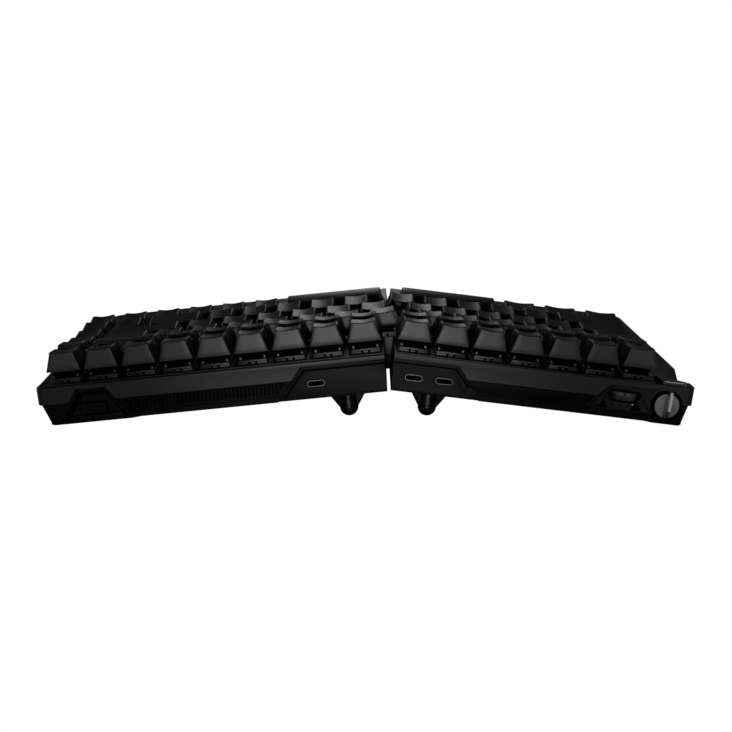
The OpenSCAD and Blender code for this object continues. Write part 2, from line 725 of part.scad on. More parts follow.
module leg_bosses() {
    boss_dia = leg_pin_dia + 2 * case_floor;
    for (y = leg_ys) from_base() translate([leg_x, y, -base_depth])
        cylinder(d = boss_dia, h = socket_deep + cut);
}
module leg_sockets(extra) {
    for (y = leg_ys) from_base() translate([leg_x, y, -base_depth - cut])
        cylinder(d = leg_pin_dia + 2 * fit + extra, h = socket_deep + cut);
}

// Feet, square to the underside
module tenting_leg(y, lift, tent) {
    tip = (lift - leg_x * sin(tent)) / cos(tent) + foot_sink;
    leg_long = tip - base_depth;
    ball = leg_ball / 2;
    translate([leg_x, y, -base_depth]) {
        cylinder(d = leg_pin_dia, h = leg_pin_long);
        translate([0, 0, -leg_long + ball]) cylinder(d = leg_dia, h = leg_long - ball);
        translate([0, 0, -leg_long + ball]) sphere(r = ball);
        rear_plate([[-leg_web / 2, 0], [leg_web / 2, 0], [ball - gap, -leg_long + ball],
            [gap - ball, -leg_long + ball]], -web_thick / 2, web_thick / 2);
    }
}
module rubber_strip(x_out, y, long, tall) {
    translate([0, 0, -foot_depth]) {
        translate([x_out - long + foot_wide / 2, y - foot_wide / 2, 0])
            cube([long - foot_wide, foot_wide, tall]);
        for (x = [x_out - long + foot_wide / 2, x_out - foot_wide / 2]) translate([x, y, 0])
            cylinder(d = foot_wide, h = tall);
    }
}
module rubber_feet(foot_end, pad_x) {
    foot_ys = [rear_y - foot_rear, front_y + foot_front];
    inner_foot = 1.5 * foot_wide;
    for (y = foot_ys) rubber_strip(foot_end, y, foot_end - pad_x, foot_tall);
    for (y = foot_ys) rubber_strip(leg_x + leg_web + inner_foot, y, inner_foot, foot_tall + pad_tall);
}

// Palm rest with its pins, hollow and open underneath
module rest_pins(edges, out, room, extra) {
    inner_x = edges[rows - 1] * key_spacing + inner_inset;
    for (x = [inner_x + rest_pin_inset, out - rest_pin_inset])
        translate([x, front_y - (room > 0 ? cut : fit), -rest_pin_depth]) rotate([-90, 0, 0])
            cylinder(d = rest_pin_dia + 2 * room, h = rest_pin_long + extra + (room > 0 ? cut : fit));
}
module rest_slab(inner_x, out, set_in, low, high) {
    front = front_y - rest_long + set_in;
    difference() {
        slab([[inner_x + set_in, front_y - set_in], [out - set_in, front_y - set_in], [out - set_in, front],
            [inner_x + set_in, front]], low, high);
        corner_cutter(out - set_in, front, -1, rest_radius - set_in, low - cut, high + cut);
    }
}
module palm_rest(edges, out) {
    inner_x = edges[rows - 1] * key_spacing + inner_inset;
    difference() {
        intersection() {
            rest_slab(inner_x, out, 0, -big / 2, rim_z);
            above(base_depth);
        }
        rest_slab(inner_x, out, rest_wall, -big / 2 - cut, rim_z - rest_wall);
    }
    rest_pins(edges, out, 0, 0);
}

// Rear panels
port_left = inner_inset + tuck_inner;
face_y = rear_y - panel_back;
right_port_shape = [[port_left, -port_panel_low], [right_port_low, -port_panel_low],
    [right_port_top, -panel_top], [port_left, -panel_top]];
left_port_shape = [[port_left, -port_panel_low], [left_port_low, -port_panel_low],
    [left_port_top, -panel_top], [port_left, -panel_top]];
strip_low = -strip_top - strip_tall;
mode_low_x = 98;
mode_top_x = 110.2;
mode_end_x = 135.9;
mode_shape = [[mode_low_x, strip_low], [mode_end_x, strip_low], [mode_end_x, -panel_top],
    [mode_top_x, -panel_top]];
bay_shape = [[bay_x - bay_low / 2, -bay_low_depth], [bay_x + bay_low / 2, -bay_low_depth],
    [bay_x + bay_top / 2, -panel_top], [bay_x - bay_top / 2, -panel_top]];
strip_space = 1;
strip_left_x = right_port_low + strip_space;
strip_right_x = bay_x - bay_low / 2 - strip_space;
name_left_x = left_port_low;
name_right_x = mode_low_x - strip_space;

// The same outline, grown by a clearance on every side, for the hole that takes the panel
function mid(points) = [for (axis = [0, 1]) (points[0][axis] + points[1][axis] + points[2][axis]
    + points[3][axis]) / 4];
function grown(points, room) = [for (p = points) [p[0] + (p[0] > mid(points)[0] ? 2 : -2) * room,
    p[1] + (p[1] > mid(points)[1] ? 1 : -1) * room]];
module panel_hole(points) { rear_plate(grown(points, gap), face_y - panel_thick - gap, rear_y + cut); }

module usb_shell(x, walls) {
    ball = usb_tall / 2 - walls;
    for (side = [-1, 1]) translate([x + side * (usb_wide - usb_tall) / 2, face_y, -usb_depth])
        rotate([90, 0, 0]) cylinder(r = ball, h = usb_long + walls);
    translate([x - (usb_wide - usb_tall) / 2, face_y - usb_long - walls, -usb_depth - ball])
        cube([usb_wide - usb_tall, usb_long + walls, 2 * ball]);
}
module usb_socket(x) {
    tongue_tall = 0.7;
    difference() {
        usb_shell(x, 0);
        translate([0, usb_wall * 3, 0]) usb_shell(x, usb_wall);
    }
    block(x, face_y - usb_long / 2 - usb_wall, -usb_depth - tongue_tall / 2, usb_wide - usb_tall,
        usb_long - 2 * usb_wall, tongue_tall);
}
module port_panel(shape, places) {
    difference() {
        rear_plate(shape, face_y - panel_thick, face_y);
        for (x = places) translate([0, cut, 0]) usb_hole(x);
    }
}
module usb_hole(x) {
    ball = usb_tall / 2 + gap;
    for (side = [-1, 1]) translate([x + side * (usb_wide - usb_tall) / 2, face_y, -usb_depth])
        rotate([90, 0, 0]) cylinder(r = ball, h = usb_long);
    translate([x - (usb_wide - usb_tall) / 2, face_y - usb_long, -usb_depth - ball])
        cube([usb_wide - usb_tall, usb_long, 2 * ball]);
}
module port_board(x_low, x_high) {
    board_y = face_y - panel_thick - gap;
    board_long = usb_long + board_thick;
    translate([x_low, board_y - board_long, -usb_depth - usb_tall / 2 - board_thick / 2])
        cube([x_high - x_low, board_long, board_thick / 2]);
}

// Right half
module right_top_frame() {
    color("#1c1c1c") place_right() deck() difference() {
        frame_shell(right_edge_shares, right_out, right_out);
        panel_hole(right_port_shape);
        panel_hole(bay_shape);
    }
}
module right_bottom_case() {
    color("#101010") place_right() deck() difference() {
        union() {
            tub(right_edge_shares, right_out, right_flank_lean, right_screws, strip_left_x, right_pad_x);
            ribbed_strip();
        }
        panel_hole(right_port_shape);
        panel_hole(bay_shape);
    }
}
module right_switch_plate() {
    color("#141414") place_right() deck() switch_plate(right_edge_shares, right_out, right_keys);
}
module right_circuit_board() {
    color("darkgreen") place_right() deck() {
        board(right_edge_shares, right_out, right_screws);
        port_board(right_usb_x - usb_wide, right_usb_x + usb_wide);
    }
}
module right_foam() {
    color("dimgray") place_right() deck() foam_sheet(right_edge_shares, right_out, right_screws);
}
module right_switches() {
    color("#3a3a3c") place_right() deck()
        for (place = key_places(right_keys)) translate(place) switch_housing();
}
module right_stabilizers() { color("#252525") place_right() deck() stabilizers(right_keys); }
module right_board_screws() { color("silver") place_right() deck() board_screws(right_screws); }
module right_port_panel() {
    color("#202020") place_right() deck() port_panel(right_port_shape, [right_usb_x]);
}
module right_usb_port() { color("silver") place_right() deck() usb_socket(right_usb_x); }
// Ribbed strip, moulded with the right lower case
module ribbed_strip() {
    slant = (right_port_low - right_port_top) * strip_tall / (port_panel_low - panel_top);
    strip_y = rear_y - tuck;
    rib_step = (strip_right_x - strip_left_x) / rib_count;
    shape = [[strip_left_x, strip_low], [strip_right_x, strip_low], [strip_right_x + slant, -strip_top],
        [strip_left_x - slant, -strip_top]];
    rear_plate(shape, strip_y - fit, strip_y + strip_thick);
    intersection() {
        rear_plate(shape, strip_y, strip_y + strip_thick + rib_out);
        for (n = [-1:rib_count]) translate([strip_left_x + (n + 0.5) * rib_step - rib_wide / 2,
            strip_y + strip_thick / 2, strip_low]) cube([rib_wide, strip_thick + rib_out, strip_tall]);
    }
}
bay_recess = 1.9;
module receiver_space(room) {
    block(bay_x, face_y - panel_thick - plug_long / 2, -receiver_depth - plug_tall / 2 - room,
        plug_wide + 2 * room, plug_long + 2 * gap, plug_tall + 2 * room);
}
module right_receiver_bay() {
    sleeve_wall = 0.8;
    sleeve_room = gap + sleeve_wall;
    recess = [for (p = bay_shape) [bay_x + (p[0] - bay_x) * (1 - bay_rim * 2.8 / bay_low),
        p[1] + (p[1] > -receiver_depth ? -bay_rim : bay_rim)]];
    color("#161616") place_right() deck() difference() {
        union() {
            rear_plate(bay_shape, face_y - panel_thick, rear_y);
            receiver_space(sleeve_room);
        }
        rear_plate(recess, rear_y - bay_recess, rear_y + cut);
        translate([0, sleeve_wall, 0]) receiver_space(gap);
        block(bay_x, face_y - panel_thick / 2, -receiver_depth - plug_tall / 2 - gap, plug_wide + 2 * gap,
            panel_thick * 2, plug_tall + 2 * gap);
    }
}
module receiver() {
    grip_long = bay_recess - gap;
    color("#242424") place_right() deck() {
        block(bay_x, rear_y - bay_recess - plug_long / 2 + fit, -receiver_depth - plug_tall / 2, plug_wide,
            plug_long, plug_tall);
        block(bay_x, rear_y - bay_recess + grip_long / 2, -receiver_depth - grip_tall / 2, grip_wide,
            grip_long, grip_tall);
    }
}
module right_rubber_feet() {
    color("#0c0c0c") difference() {
        place_right() rubber_feet(foot_end_right, right_pad_x);
        below_table();
    }
}
module right_rear_leg() {
    color("#141414") difference() {
        place_right() tenting_leg(-rear_leg_y, lift_right, tent_right);
        below_table();
    }
}
module right_front_leg() {
    color("#141414") difference() {
        place_right() tenting_leg(-front_leg_y, lift_right, tent_right);
        below_table();
    }
}
module right_palm_rest() { color("#181818") place_right() deck() palm_rest(right_edge_shares, right_out); }
module right_key_row_1() { color("#4d4a4c") place_right() deck() keys(row_keys(right_keys, 0)); }
module right_key_row_2() { color("#4d4a4c") place_right() deck() keys(row_keys(right_keys, 1)); }
module right_key_row_3() { color("#4d4a4c") place_right() deck() keys(row_keys(right_keys, 2)); }
module right_key_row_4() { color("#4d4a4c") place_right() deck() keys(row_keys(right_keys, 3)); }
module right_key_row_5() { color("#4d4a4c") place_right() deck() keys(row_keys(right_keys, 4)); }
module right_key_row_6() { color("#4d4a4c") place_right() deck() keys(row_keys(right_keys, 5)); }
module backspace_key() { color("#4d4a4c") place_right() deck() keys(named_key(right_keys, 1)); }
module backslash_key() { color("#4d4a4c") place_right() deck() keys(named_key(right_keys, 2)); }
module enter_key() { color("#4d4a4c") place_right() deck() keys(named_key(right_keys, 3)); }
module right_shift_key() { color("#4d4a4c") place_right() deck() keys(named_key(right_keys, 4)); }
module right_space_bar() { color("#4d4a4c") place_right() deck() keys(space_key(right_keys)); }

// Left half
wing_in = left_units * key_spacing + inner_inset;
scoop_rear = rear_y - scoop_start;
scoop_floor = 2;
module left_top_frame() {
    room = wing_in + rim_wide;
    color("#1c1c1c") place_left() deck() difference() {
        union() {
            difference() {
                frame_shell(left_edge_shares, left_out, room);
                translate([wing_in + rim_wide, front_y + rim_wide + ledge, frame_low - cut])
                    cube([left_wing - 2 * rim_wide - ledge, rear_y - front_y - 2 * rim_wide - 2 * ledge,
                        frame_depth - rim_depth - scoop_floor + cut]);
            }
            translate([wing_in + rim_wide / 2, scoop_rear - scoop_long - scoop_ramp, frame_low])
                cube([left_wing - rim_wide, scoop_long + scoop_ramp + cut, rim_z - frame_low]);
        }
        scoop();
        translate([wing_in + rim_wide + gap, scoop_rear - scoop_long, frame_low - cut])
            cube([left_wing - 2 * rim_wide - ledge, scoop_long + 2 * cut,
                frame_depth - scoop_depth - scoop_floor + cut]);
        panel_hole(left_port_shape);
        panel_hole(mode_shape);
        cup_hole();
        plunger(2 * gap);
    }
}
// The finger scoop in front of the function button, open at the half's outer side
module scoop() {
    scoop_x = wing_in + rim_wide;
    front = scoop_rear - scoop_long;
    translate([scoop_x, 0, 0]) rotate([90, 0, 90]) linear_extrude(left_wing + cut) polygon([
        [scoop_rear, rim_z + cut], [scoop_rear, -scoop_depth], [front, -scoop_depth],
        [front - scoop_ramp, rim_z], [front - scoop_ramp, rim_z + cut]]);
}
module cup_hole() {
    translate([knob_x, rear_y + cut, -knob_depth]) rotate([90, 0, 0])
        cylinder(r = cup_radius + gap, h = rear_y + cut - cup_back + gap);
    block(knob_x, cup_back - encoder_long / 2, -knob_depth - encoder_wide / 2 - gap, encoder_wide + 2 * gap,
        encoder_long + 2 * gap, encoder_wide + 2 * gap);
}
module left_bottom_case() {
    color("#101010") place_left() deck() difference() {
        union() {
            tub(left_edge_shares, left_out, left_flank_lean, left_screws, name_left_x, left_pad_x);
            name_strip();
        }
        panel_hole(left_port_shape);
        panel_hole(mode_shape);
        cup_hole();
        plug_holes();
    }
}
module left_switch_plate() {
    color("#141414") place_left() deck() switch_plate(left_edge_shares, wing_in + rim_wide, left_keys);
}
module left_circuit_board() {
    color("darkgreen") place_left() deck() {
        board(left_edge_shares, wing_in + rim_wide, left_screws);
        port_board(left_usb_x1 - usb_wide + case_wall, left_usb_x2 + usb_wide);
    }
}
module left_foam() {
    color("dimgray") place_left() deck() foam_sheet(left_edge_shares, wing_in + rim_wide, left_screws);
}
module left_battery() {
    battery_x = 86;
    battery_y = -40;
    color("steelblue") place_left() block(battery_x, battery_y, -base_depth + case_floor, battery_long,
        battery_wide, battery_thick);
}
module left_switches() {
    color("#3a3a3c") place_left() deck()
        for (place = key_places(left_keys)) translate(place) switch_housing();
}
module left_stabilizers() { color("#252525") place_left() deck() stabilizers(left_keys); }
module left_board_screws() { color("silver") place_left() deck() board_screws(left_screws); }
module left_port_panel() {
    color("#202020") place_left() deck() difference() {
        port_panel(left_port_shape, [left_usb_x1, left_usb_x2]);
        plug_holes();
    }
}
module left_usb_ports() {
    color("silver") place_left() deck() for (x = [left_usb_x1, left_usb_x2]) usb_socket(x);
}
// Bare strip for a name, moulded with the left lower case
module name_strip() {
    slant = (left_port_low - left_port_top) * strip_tall / (port_panel_low - panel_top);
    strip_y = rear_y - tuck;
    rear_plate([[name_left_x, strip_low], [name_right_x, strip_low], [name_right_x + slant, -strip_top],
        [name_left_x - slant, -strip_top]], strip_y - fit, strip_y + strip_thick);
}
module window_prism(room, side_room, y_front, y_back) {
    side_slab(window_x, window_low - 2 * side_room, window_top - 2 * side_room,
        -window_depth - window_tall / 2 + room, -window_depth + window_tall / 2 - room, y_front, y_back);
}
mode_slot = 1.6;
mode_tongue = 2.2;
mode_recess = 1.3;
module left_mode_panel() {
    color("#191919") place_left() deck() difference() {
        rear_plate(mode_shape, face_y - panel_thick, face_y);
        window_prism(0, 0, face_y - mode_recess, face_y + cut);
        block(window_x, face_y - panel_thick / 2, -window_depth - mode_slot / 2 - fit,
            mode_tongue + 2 * mode_travel + 2 * gap, panel_thick * 2, mode_slot + 2 * fit);
        cup_hole();
        plug_holes();
    }
}
module mode_slider() {
    ridge = 0.8;
    ridge_out = 0.4;
    body_y = face_y - mode_recess + gap;
    body_tall = window_tall - 2 * gap;
    color("#303030") place_left() deck() {
        window_prism(gap, mode_travel + gap, body_y, face_y - gap);
        block(window_x, face_y - gap + ridge_out / 2 - fit, -window_depth - body_tall / 2, ridge, ridge_out,
            body_tall);
        block(window_x, body_y - panel_thick / 2 + fit, -window_depth - mode_slot / 2, mode_tongue,
            panel_thick, mode_slot);
    }
}
cup_back = rear_y - knob_disc - 2 * gap - cup_floor;
module knob_cup() {
    color("#0e0e0e") place_left() deck() translate([knob_x, rear_y, -knob_depth]) rotate([90, 0, 0])
        difference() {
            cylinder(r = cup_radius, h = rear_y - cup_back);
            translate([0, 0, -cut]) cylinder(r = cup_radius - cup_wall, h = cut + knob_disc + 2 * gap);
            cylinder(r = shaft_radius + fit, h = rear_y);
        }
}
module rotary_knob() {
    nose = knob_radius + bar_nose;
    nose_y = rear_y + run_gap;
    crest_y = rear_y + bar_out;
    foot_y = rear_y - fit;
    color("#8a8a8a") place_left() deck() translate([knob_x, 0, -knob_depth]) {
        translate([0, rear_y, 0]) rotate([90, 0, 0]) cylinder(r = knob_radius, h = knob_disc);
        translate([0, rear_y - knob_disc + fit, 0]) rotate([90, 0, 0])
            cylinder(r = shaft_radius, h = cup_floor + 2 * gap + encoder_long / 2);
        intersection() {
            translate([-bar_wide, 0, 0]) rotate([90, 0, 90]) linear_extrude(2 * bar_wide) polygon([
                [foot_y, gap - knob_radius], [crest_y, -bar_wide / 2], [crest_y, nose], [nose_y, nose],
                [nose_y, knob_radius - gap], [foot_y, knob_radius - gap]]);
            slab([[-bar_wide / 2, foot_y], [bar_wide / 2, foot_y], [bar_crest / 2, crest_y],
                [-bar_crest / 2, crest_y]], -nose, 2 * nose);
        }
    }
}
module rotary_encoder() {
    color("silver") place_left() deck() difference() {
        block(knob_x, cup_back - encoder_long / 2, -knob_depth - encoder_wide / 2, encoder_wide,
            encoder_long, encoder_wide);
        translate([knob_x, rear_y, -knob_depth]) rotate([90, 0, 0])
            cylinder(r = shaft_radius + fit, h = rear_y - cup_back + encoder_long / 2 + gap);
    }
}
button_x = wing_in + rim_wide + gap + button_wide / 2;
button_rear = rear_y - 2 * gap;
button_front = button_rear - button_long;
plunger_radius = 1.5;
plunger_x = wing_in + rim_wide + 2 * plunger_radius;
plunger_y = button_front + 3 * plunger_radius;
module plunger(room) {
    translate([plunger_x, plunger_y, -scoop_depth - scoop_floor - cut])
        cylinder(r = plunger_radius + room, h = scoop_floor + 3 * cut);
}
// Outer edge of the paddle over the scoop: shares of its width and length
button_shares = [[1, 0.15], [0.66, 0.46], [0.28, 1]];
module function_button() {
    fall = 1.6;
    top = -button_top;
    lip_z = rim_z + button_travel + gap;
    foot_z = -scoop_depth + button_travel + gap + cut / 2;
    half_wide = button_wide / 2;
    color("#2a2a2a") place_left() deck() {
        intersection() {
            translate([button_x - half_wide, 0, 0]) rotate([90, 0, 90]) linear_extrude(button_wide) polygon([
                [button_rear, lip_z], [button_rear, top - gap], [button_rear - gap * 4, top],
                [button_front, top - fall], [button_front, foot_z], [scoop_rear - run_gap, foot_z],
                [scoop_rear - run_gap, lip_z]]);
            slab(concat([[button_x - half_wide, button_front], [button_x - half_wide, button_rear],
                [button_x + half_wide * 0.68, button_rear]],
                [for (share = button_shares) [button_x - half_wide + share[0] * button_wide,
                    button_rear - share[1] * button_long]]), -scoop_depth, 0);
        }
        translate([plunger_x, plunger_y, -scoop_depth - scoop_floor - cut / 2])
            cylinder(r = plunger_radius, h = scoop_floor + 2 * cut);
    }
}
module left_control_board() {
    board_y = cup_back - encoder_long;
    board_x = 107;
    board_wide = knob_x + encoder_wide / 2 - board_x;
    board_low_z = -base_depth + sill_tall + gap;
    tact_tall = 3;
    switch_wide = 9;
    switch_long = 5.6;
    switch_tall = 4;
    tact_z = -scoop_depth - scoop_floor - cut / 2 - button_travel - gap - tact_tall;
    color("darkgreen") place_left() deck() {
        translate([board_x, board_y - board_thick, board_low_z])
            cube([board_wide, board_thick, frame_low - gap - board_low_z]);
        block(window_x, board_y + switch_long / 2 - fit, foam_low - gap - switch_tall, switch_wide,
            switch_long, switch_tall);
        translate([plunger_x - plunger_radius, board_y - board_thick - 4 * plunger_radius + fit, tact_z])
            cube([2 * plunger_radius, 4 * plunger_radius, tact_tall]);
    }
}
plug_radius = 2.3;
plug_depth = 21.5;
plug_long_in = 2.2;
plug_places = [[39.8, -plug_depth], [102.3, -plug_depth]];
module plug_holes() {
    for (place = plug_places) translate([place[0], rear_y + cut, place[1]]) rotate([90, 0, 0])
        cylinder(r = plug_radius + gap, h = cut + plug_long_in);
}
module left_screw_plugs() {
    color("#202020") place_left() deck() for (place = plug_places)
        translate([place[0], rear_y - gap, place[1]]) rotate([90, 0, 0])
            cylinder(r = plug_radius, h = plug_long_in - 2 * gap);
}
module left_rubber_feet() {
    color("#0c0c0c") difference() {
        place_left() rubber_feet(foot_end_left, left_pad_x);
        below_table();
    }
}
module left_rear_leg() {
    color("#141414") difference() {
        place_left() tenting_leg(-rear_leg_y, lift_left, tent_left);
        below_table();
    }
}
module left_front_leg() {
    color("#141414") difference() {
        place_left() tenting_leg(-front_leg_y, lift_left, tent_left);
        below_table();
    }
}
module left_palm_rest() { color("#181818") place_left() deck() palm_rest(left_edge_shares, left_out); }
module left_key_row_1() { color("#4d4a4c") place_left() deck() keys(row_keys(left_keys, 0)); }
module left_key_row_2() { color("#4d4a4c") place_left() deck() keys(row_keys(left_keys, 1)); }
module left_key_row_3() { color("#4d4a4c") place_left() deck() keys(row_keys(left_keys, 2)); }
module left_key_row_4() { color("#4d4a4c") place_left() deck() keys(row_keys(left_keys, 3)); }
module left_key_row_5() { color("#4d4a4c") place_left() deck() keys(row_keys(left_keys, 4)); }
module tab_key() { color("#4d4a4c") place_left() deck() keys(named_key(left_keys, 2)); }
module caps_lock_key() { color("#4d4a4c") place_left() deck() keys(named_key(left_keys, 3)); }
module left_shift_key() { color("#4d4a4c") place_left() deck() keys(named_key(left_keys, 4)); }
function modifier_keys(list) = [for (key = named_key(list, rows - 1)) if (key[2] < space_unit_min) key];
module left_modifier_keys() { color("#4d4a4c") place_left() deck() keys(modifier_keys(left_keys)); }
module left_space_bar() { color("#4d4a4c") place_left() deck() keys(space_key(left_keys)); }

left_top_frame();
left_bottom_case();
left_switch_plate();
left_circuit_board();
left_foam();
left_battery();
left_switches();
left_stabilizers();
left_board_screws();
left_port_panel();
left_usb_ports();
left_palm_rest();
left_mode_panel();
mode_slider();
knob_cup();
rotary_knob();
rotary_encoder();
function_button();
left_control_board();
left_screw_plugs();
left_rubber_feet();
left_rear_leg();
left_front_leg();
left_key_row_1();
left_key_row_2();
left_key_row_3();
left_key_row_4();
left_key_row_5();
tab_key();
caps_lock_key();
left_shift_key();
left_modifier_keys();
left_space_bar();
right_top_frame();
right_bottom_case();
right_switch_plate();
right_circuit_board();
right_foam();
right_switches();
right_stabilizers();
right_board_screws();
right_port_panel();
right_usb_port();
right_palm_rest();
right_receiver_bay();
receiver();
right_rubber_feet();
right_rear_leg();
right_front_leg();
right_key_row_1();
right_key_row_2();
right_key_row_3();
right_key_row_4();
right_key_row_5();
right_key_row_6();
backspace_key();
backslash_key();
enter_key();
right_shift_key();
right_space_bar();
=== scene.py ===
"""Tented split keyboard, seen from behind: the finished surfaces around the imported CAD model."""

import math

import bmesh
import bpy
from mathutils import Matrix, Vector


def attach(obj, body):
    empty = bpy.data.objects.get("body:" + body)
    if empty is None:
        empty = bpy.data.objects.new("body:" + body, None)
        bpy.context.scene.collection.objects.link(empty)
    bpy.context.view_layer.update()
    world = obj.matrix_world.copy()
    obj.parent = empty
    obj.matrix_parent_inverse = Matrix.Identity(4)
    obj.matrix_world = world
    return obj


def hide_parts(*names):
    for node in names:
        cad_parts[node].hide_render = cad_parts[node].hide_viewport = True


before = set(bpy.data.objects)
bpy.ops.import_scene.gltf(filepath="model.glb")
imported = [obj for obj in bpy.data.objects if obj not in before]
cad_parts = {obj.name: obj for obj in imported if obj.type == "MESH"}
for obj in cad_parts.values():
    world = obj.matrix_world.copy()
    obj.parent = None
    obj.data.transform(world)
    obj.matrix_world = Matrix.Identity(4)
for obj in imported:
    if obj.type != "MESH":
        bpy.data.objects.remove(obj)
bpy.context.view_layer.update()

# Sizes of the part, in millimetres and degrees, as its source has them
MM = 0.001

# How the halves stand
TYPING_ANGLE = 3.05
TENT = {"right": 5.89, "left": 7.03}
HALF_GAP = 5.98

# Key grid
PITCH = 19.05
ROWS = 6
UNITS = {"right": 9, "left": 7}

# Keycaps; heights and falls are given row by row from the rear
CAP_BASE = 18.1
CAP_GAP = PITCH - CAP_BASE
SIDE_LEAN = 2.85
REAR_LEAN = 0.5
CAP_TOP_DEPTH = 13.4
CAP_WALL = 1.25
CAP_HOLLOW = 4.7
DISH_DEPTH = 0.93
DOME_RISE = 1.2
DOMED_UNITS = 3
REAR_HEIGHTS = (10.35, 10.35, 7.65, 6.6, 7.05, 7.05)
TOP_FALLS = (0.7, 0.7, -0.5, -1.7, -2.5, -2.5)

# Case, legs and rests
MARGIN = {"right": 5.05, "left": 19.1}
FLANK_LEAN = {"right": 3.7, "left": 2.4}
REAR_Y = 5
FRONT_MARGIN = 5
RIM_DEPTH = 6.35
FRAME_DEPTH = 15.5
FRONT_TALL = 3.7
TUCK = 1.2
TUCK_OUTER = 2.2
PANEL_BACK = 0.4
PANEL_TOP = 9.1
PANEL_LIFT = 1.1
PAD_TALL = 1.15
FOOT_TALL = 0.4
FOOT_SINK = 0.25
FOOT_INSET = 0.2
REST_LONG = 84

# Knob bar and ports
KNOB_DEPTH = 16.75
BAR_WIDE = 3
BAR_OUT = 6
USB_LIFT = 6.5
USB_WIDE = 9
USB_TALL = 3.3
USB_PLACES = {"right": (35.8,), "left": (11.3, 26.6)}

# Sizes worked out from the others
GRID_REAR = CAP_GAP / 2
FRONT_Y = GRID_REAR - ROWS * PITCH - FRONT_MARGIN
FACE_Y = REAR_Y - PANEL_BACK
OUT = {side: UNITS[side] * PITCH + MARGIN[side] for side in UNITS}
TYPING = math.radians(TYPING_ANGLE)
BASE_DEPTH = FRONT_TALL + FRAME_DEPTH * math.cos(TYPING) - FRONT_Y * math.sin(TYPING)
PORT_PANEL_LOW = BASE_DEPTH - PANEL_LIFT
USB_DEPTH = PORT_PANEL_LOW - USB_LIFT

# Keys of each node: half, row from the rear, and runs of (start in units, width in units, count)
KEYS = {
    "left_key_row_1": ("left", 0, [(0, 1, 7)]),
    "left_key_row_2": ("left", 1, [(0, 1, 7)]),
    "left_key_row_3": ("left", 2, [(0.5, 1, 5)]),
    "left_key_row_4": ("left", 3, [(0.25, 1, 5)]),
    "left_key_row_5": ("left", 4, [(-0.25, 1, 5)]),
    "tab_key": ("left", 2, [(5.5, 1.5, 1)]),
    "caps_lock_key": ("left", 3, [(5.25, 1.75, 1)]),
    "left_shift_key": ("left", 4, [(4.75, 2.25, 1)]),
    "left_modifier_keys": ("left", 5, [(3.25, 1.25, 3)]),
    "left_space_bar": ("left", 5, [(0.125, 3.125, 1)]),
    "right_key_row_1": ("right", 0, [(0, 1, 9)]),
    "right_key_row_2": ("right", 1, [(0, 1, 6), (8, 1, 1)]),
    "right_key_row_3": ("right", 2, [(-0.5, 1, 7), (8, 1, 1)]),
    "right_key_row_4": ("right", 3, [(-0.25, 1, 6), (8, 1, 1)]),
    "right_key_row_5": ("right", 4, [(0.25, 1, 5), (7, 1, 2)]),
    "right_key_row_6": ("right", 5, [(3, 1, 6)]),
    "backspace_key": ("right", 1, [(6, 2, 1)]),
    "backslash_key": ("right", 2, [(6.5, 1.5, 1)]),
    "enter_key": ("right", 3, [(5.75, 2.25, 1)]),
    "right_shift_key": ("right", 4, [(5.25, 1.75, 1)]),
    "right_space_bar": ("right", 5, [(-0.125, 3.125, 1)]),
}


def lift_of(side):
    """Height of a half's own origin over the table: it stands on the outer end of its rubber feet."""
    tent = math.radians(TENT[side])
    lean = FLANK_LEAN[side] * (1 + PAD_TALL / (BASE_DEPTH - FRAME_DEPTH))
    foot_end = OUT[side] - TUCK_OUTER - lean - FOOT_INSET
    foot_depth = BASE_DEPTH + PAD_TALL + FOOT_TALL - FOOT_SINK
    return foot_end * math.sin(tent) + foot_depth * math.cos(tent)


def reach_of(side):
    """How far a half reaches outward from its own origin, along the table."""
    tent = math.radians(TENT[side])
    rim_rise = -RIM_DEPTH * math.cos(TYPING) + REAR_Y * math.sin(TYPING)
    return OUT[side] * math.cos(tent) + rim_rise * math.sin(tent)


def middle_y():
    """Middle of the keyboard from front to rear, in a half's frame turned level."""
    rear = (REAR_Y + BAR_OUT) * math.cos(TYPING) + (KNOB_DEPTH + BAR_WIDE / 2) * math.sin(TYPING)
    front = (FRONT_Y - REST_LONG) * math.cos(TYPING) + RIM_DEPTH * math.sin(TYPING)
    return (rear + front) / 2


def half_matrix(side):
    """From a half's own deck frame, in millimetres, to the shared frame, in metres."""
    total = reach_of("right") + HALF_GAP + reach_of("left")
    right = side == "right"
    origin_x = total / 2 - reach_of("right") if right else reach_of("left") - total / 2
    tent = math.radians(TENT[side]) * (1 if right else -1)
    return (
        Matrix.Scale(MM, 4)
        @ Matrix.Translation((origin_x, -middle_y(), lift_of(side)))
        @ Matrix.Rotation(tent, 4, "Y")
        @ Matrix.Diagonal((1 if right else -1, 1, 1, 1))
        @ Matrix.Rotation(TYPING, 4, "X")
    )


HALF = {side: half_matrix(side) for side in UNITS}
HALF_BODY = {"right": "right_half", "left": "left_half"}


def row_y(row):
    return GRID_REAR - (row + 0.5) * PITCH


def key_places(run):
    start, units, count = run
    return [(start + (n + 0.5) * units) * PITCH for n in range(count)]


# Materials. A grain is the scale of its noise and the depth of its bump in metres;
# spreads are the changes of roughness and the shares of colour over a surface.

MOULDED_GRAIN = (9000, 0.00003)
CAP_GRAIN = (6000, 0.00004)
RUBBER_GRAIN = (4000, 0.00008)
METAL_GRAIN = (5000, 0.00001)
GRAIN_DETAIL = 3
GRAIN_STRENGTH = 0.35
CLOUD_SCALE = 45
CLOUD_DETAIL = 4
RAMP_ENDS = (0.3, 0.7)
PLASTIC_SPREADS = (0.04, 0.12)
METAL_SPREADS = (0.05, 0.05)
PLAIN_SPECULAR = 0.5
LENS_ROUGHNESS = 0.3


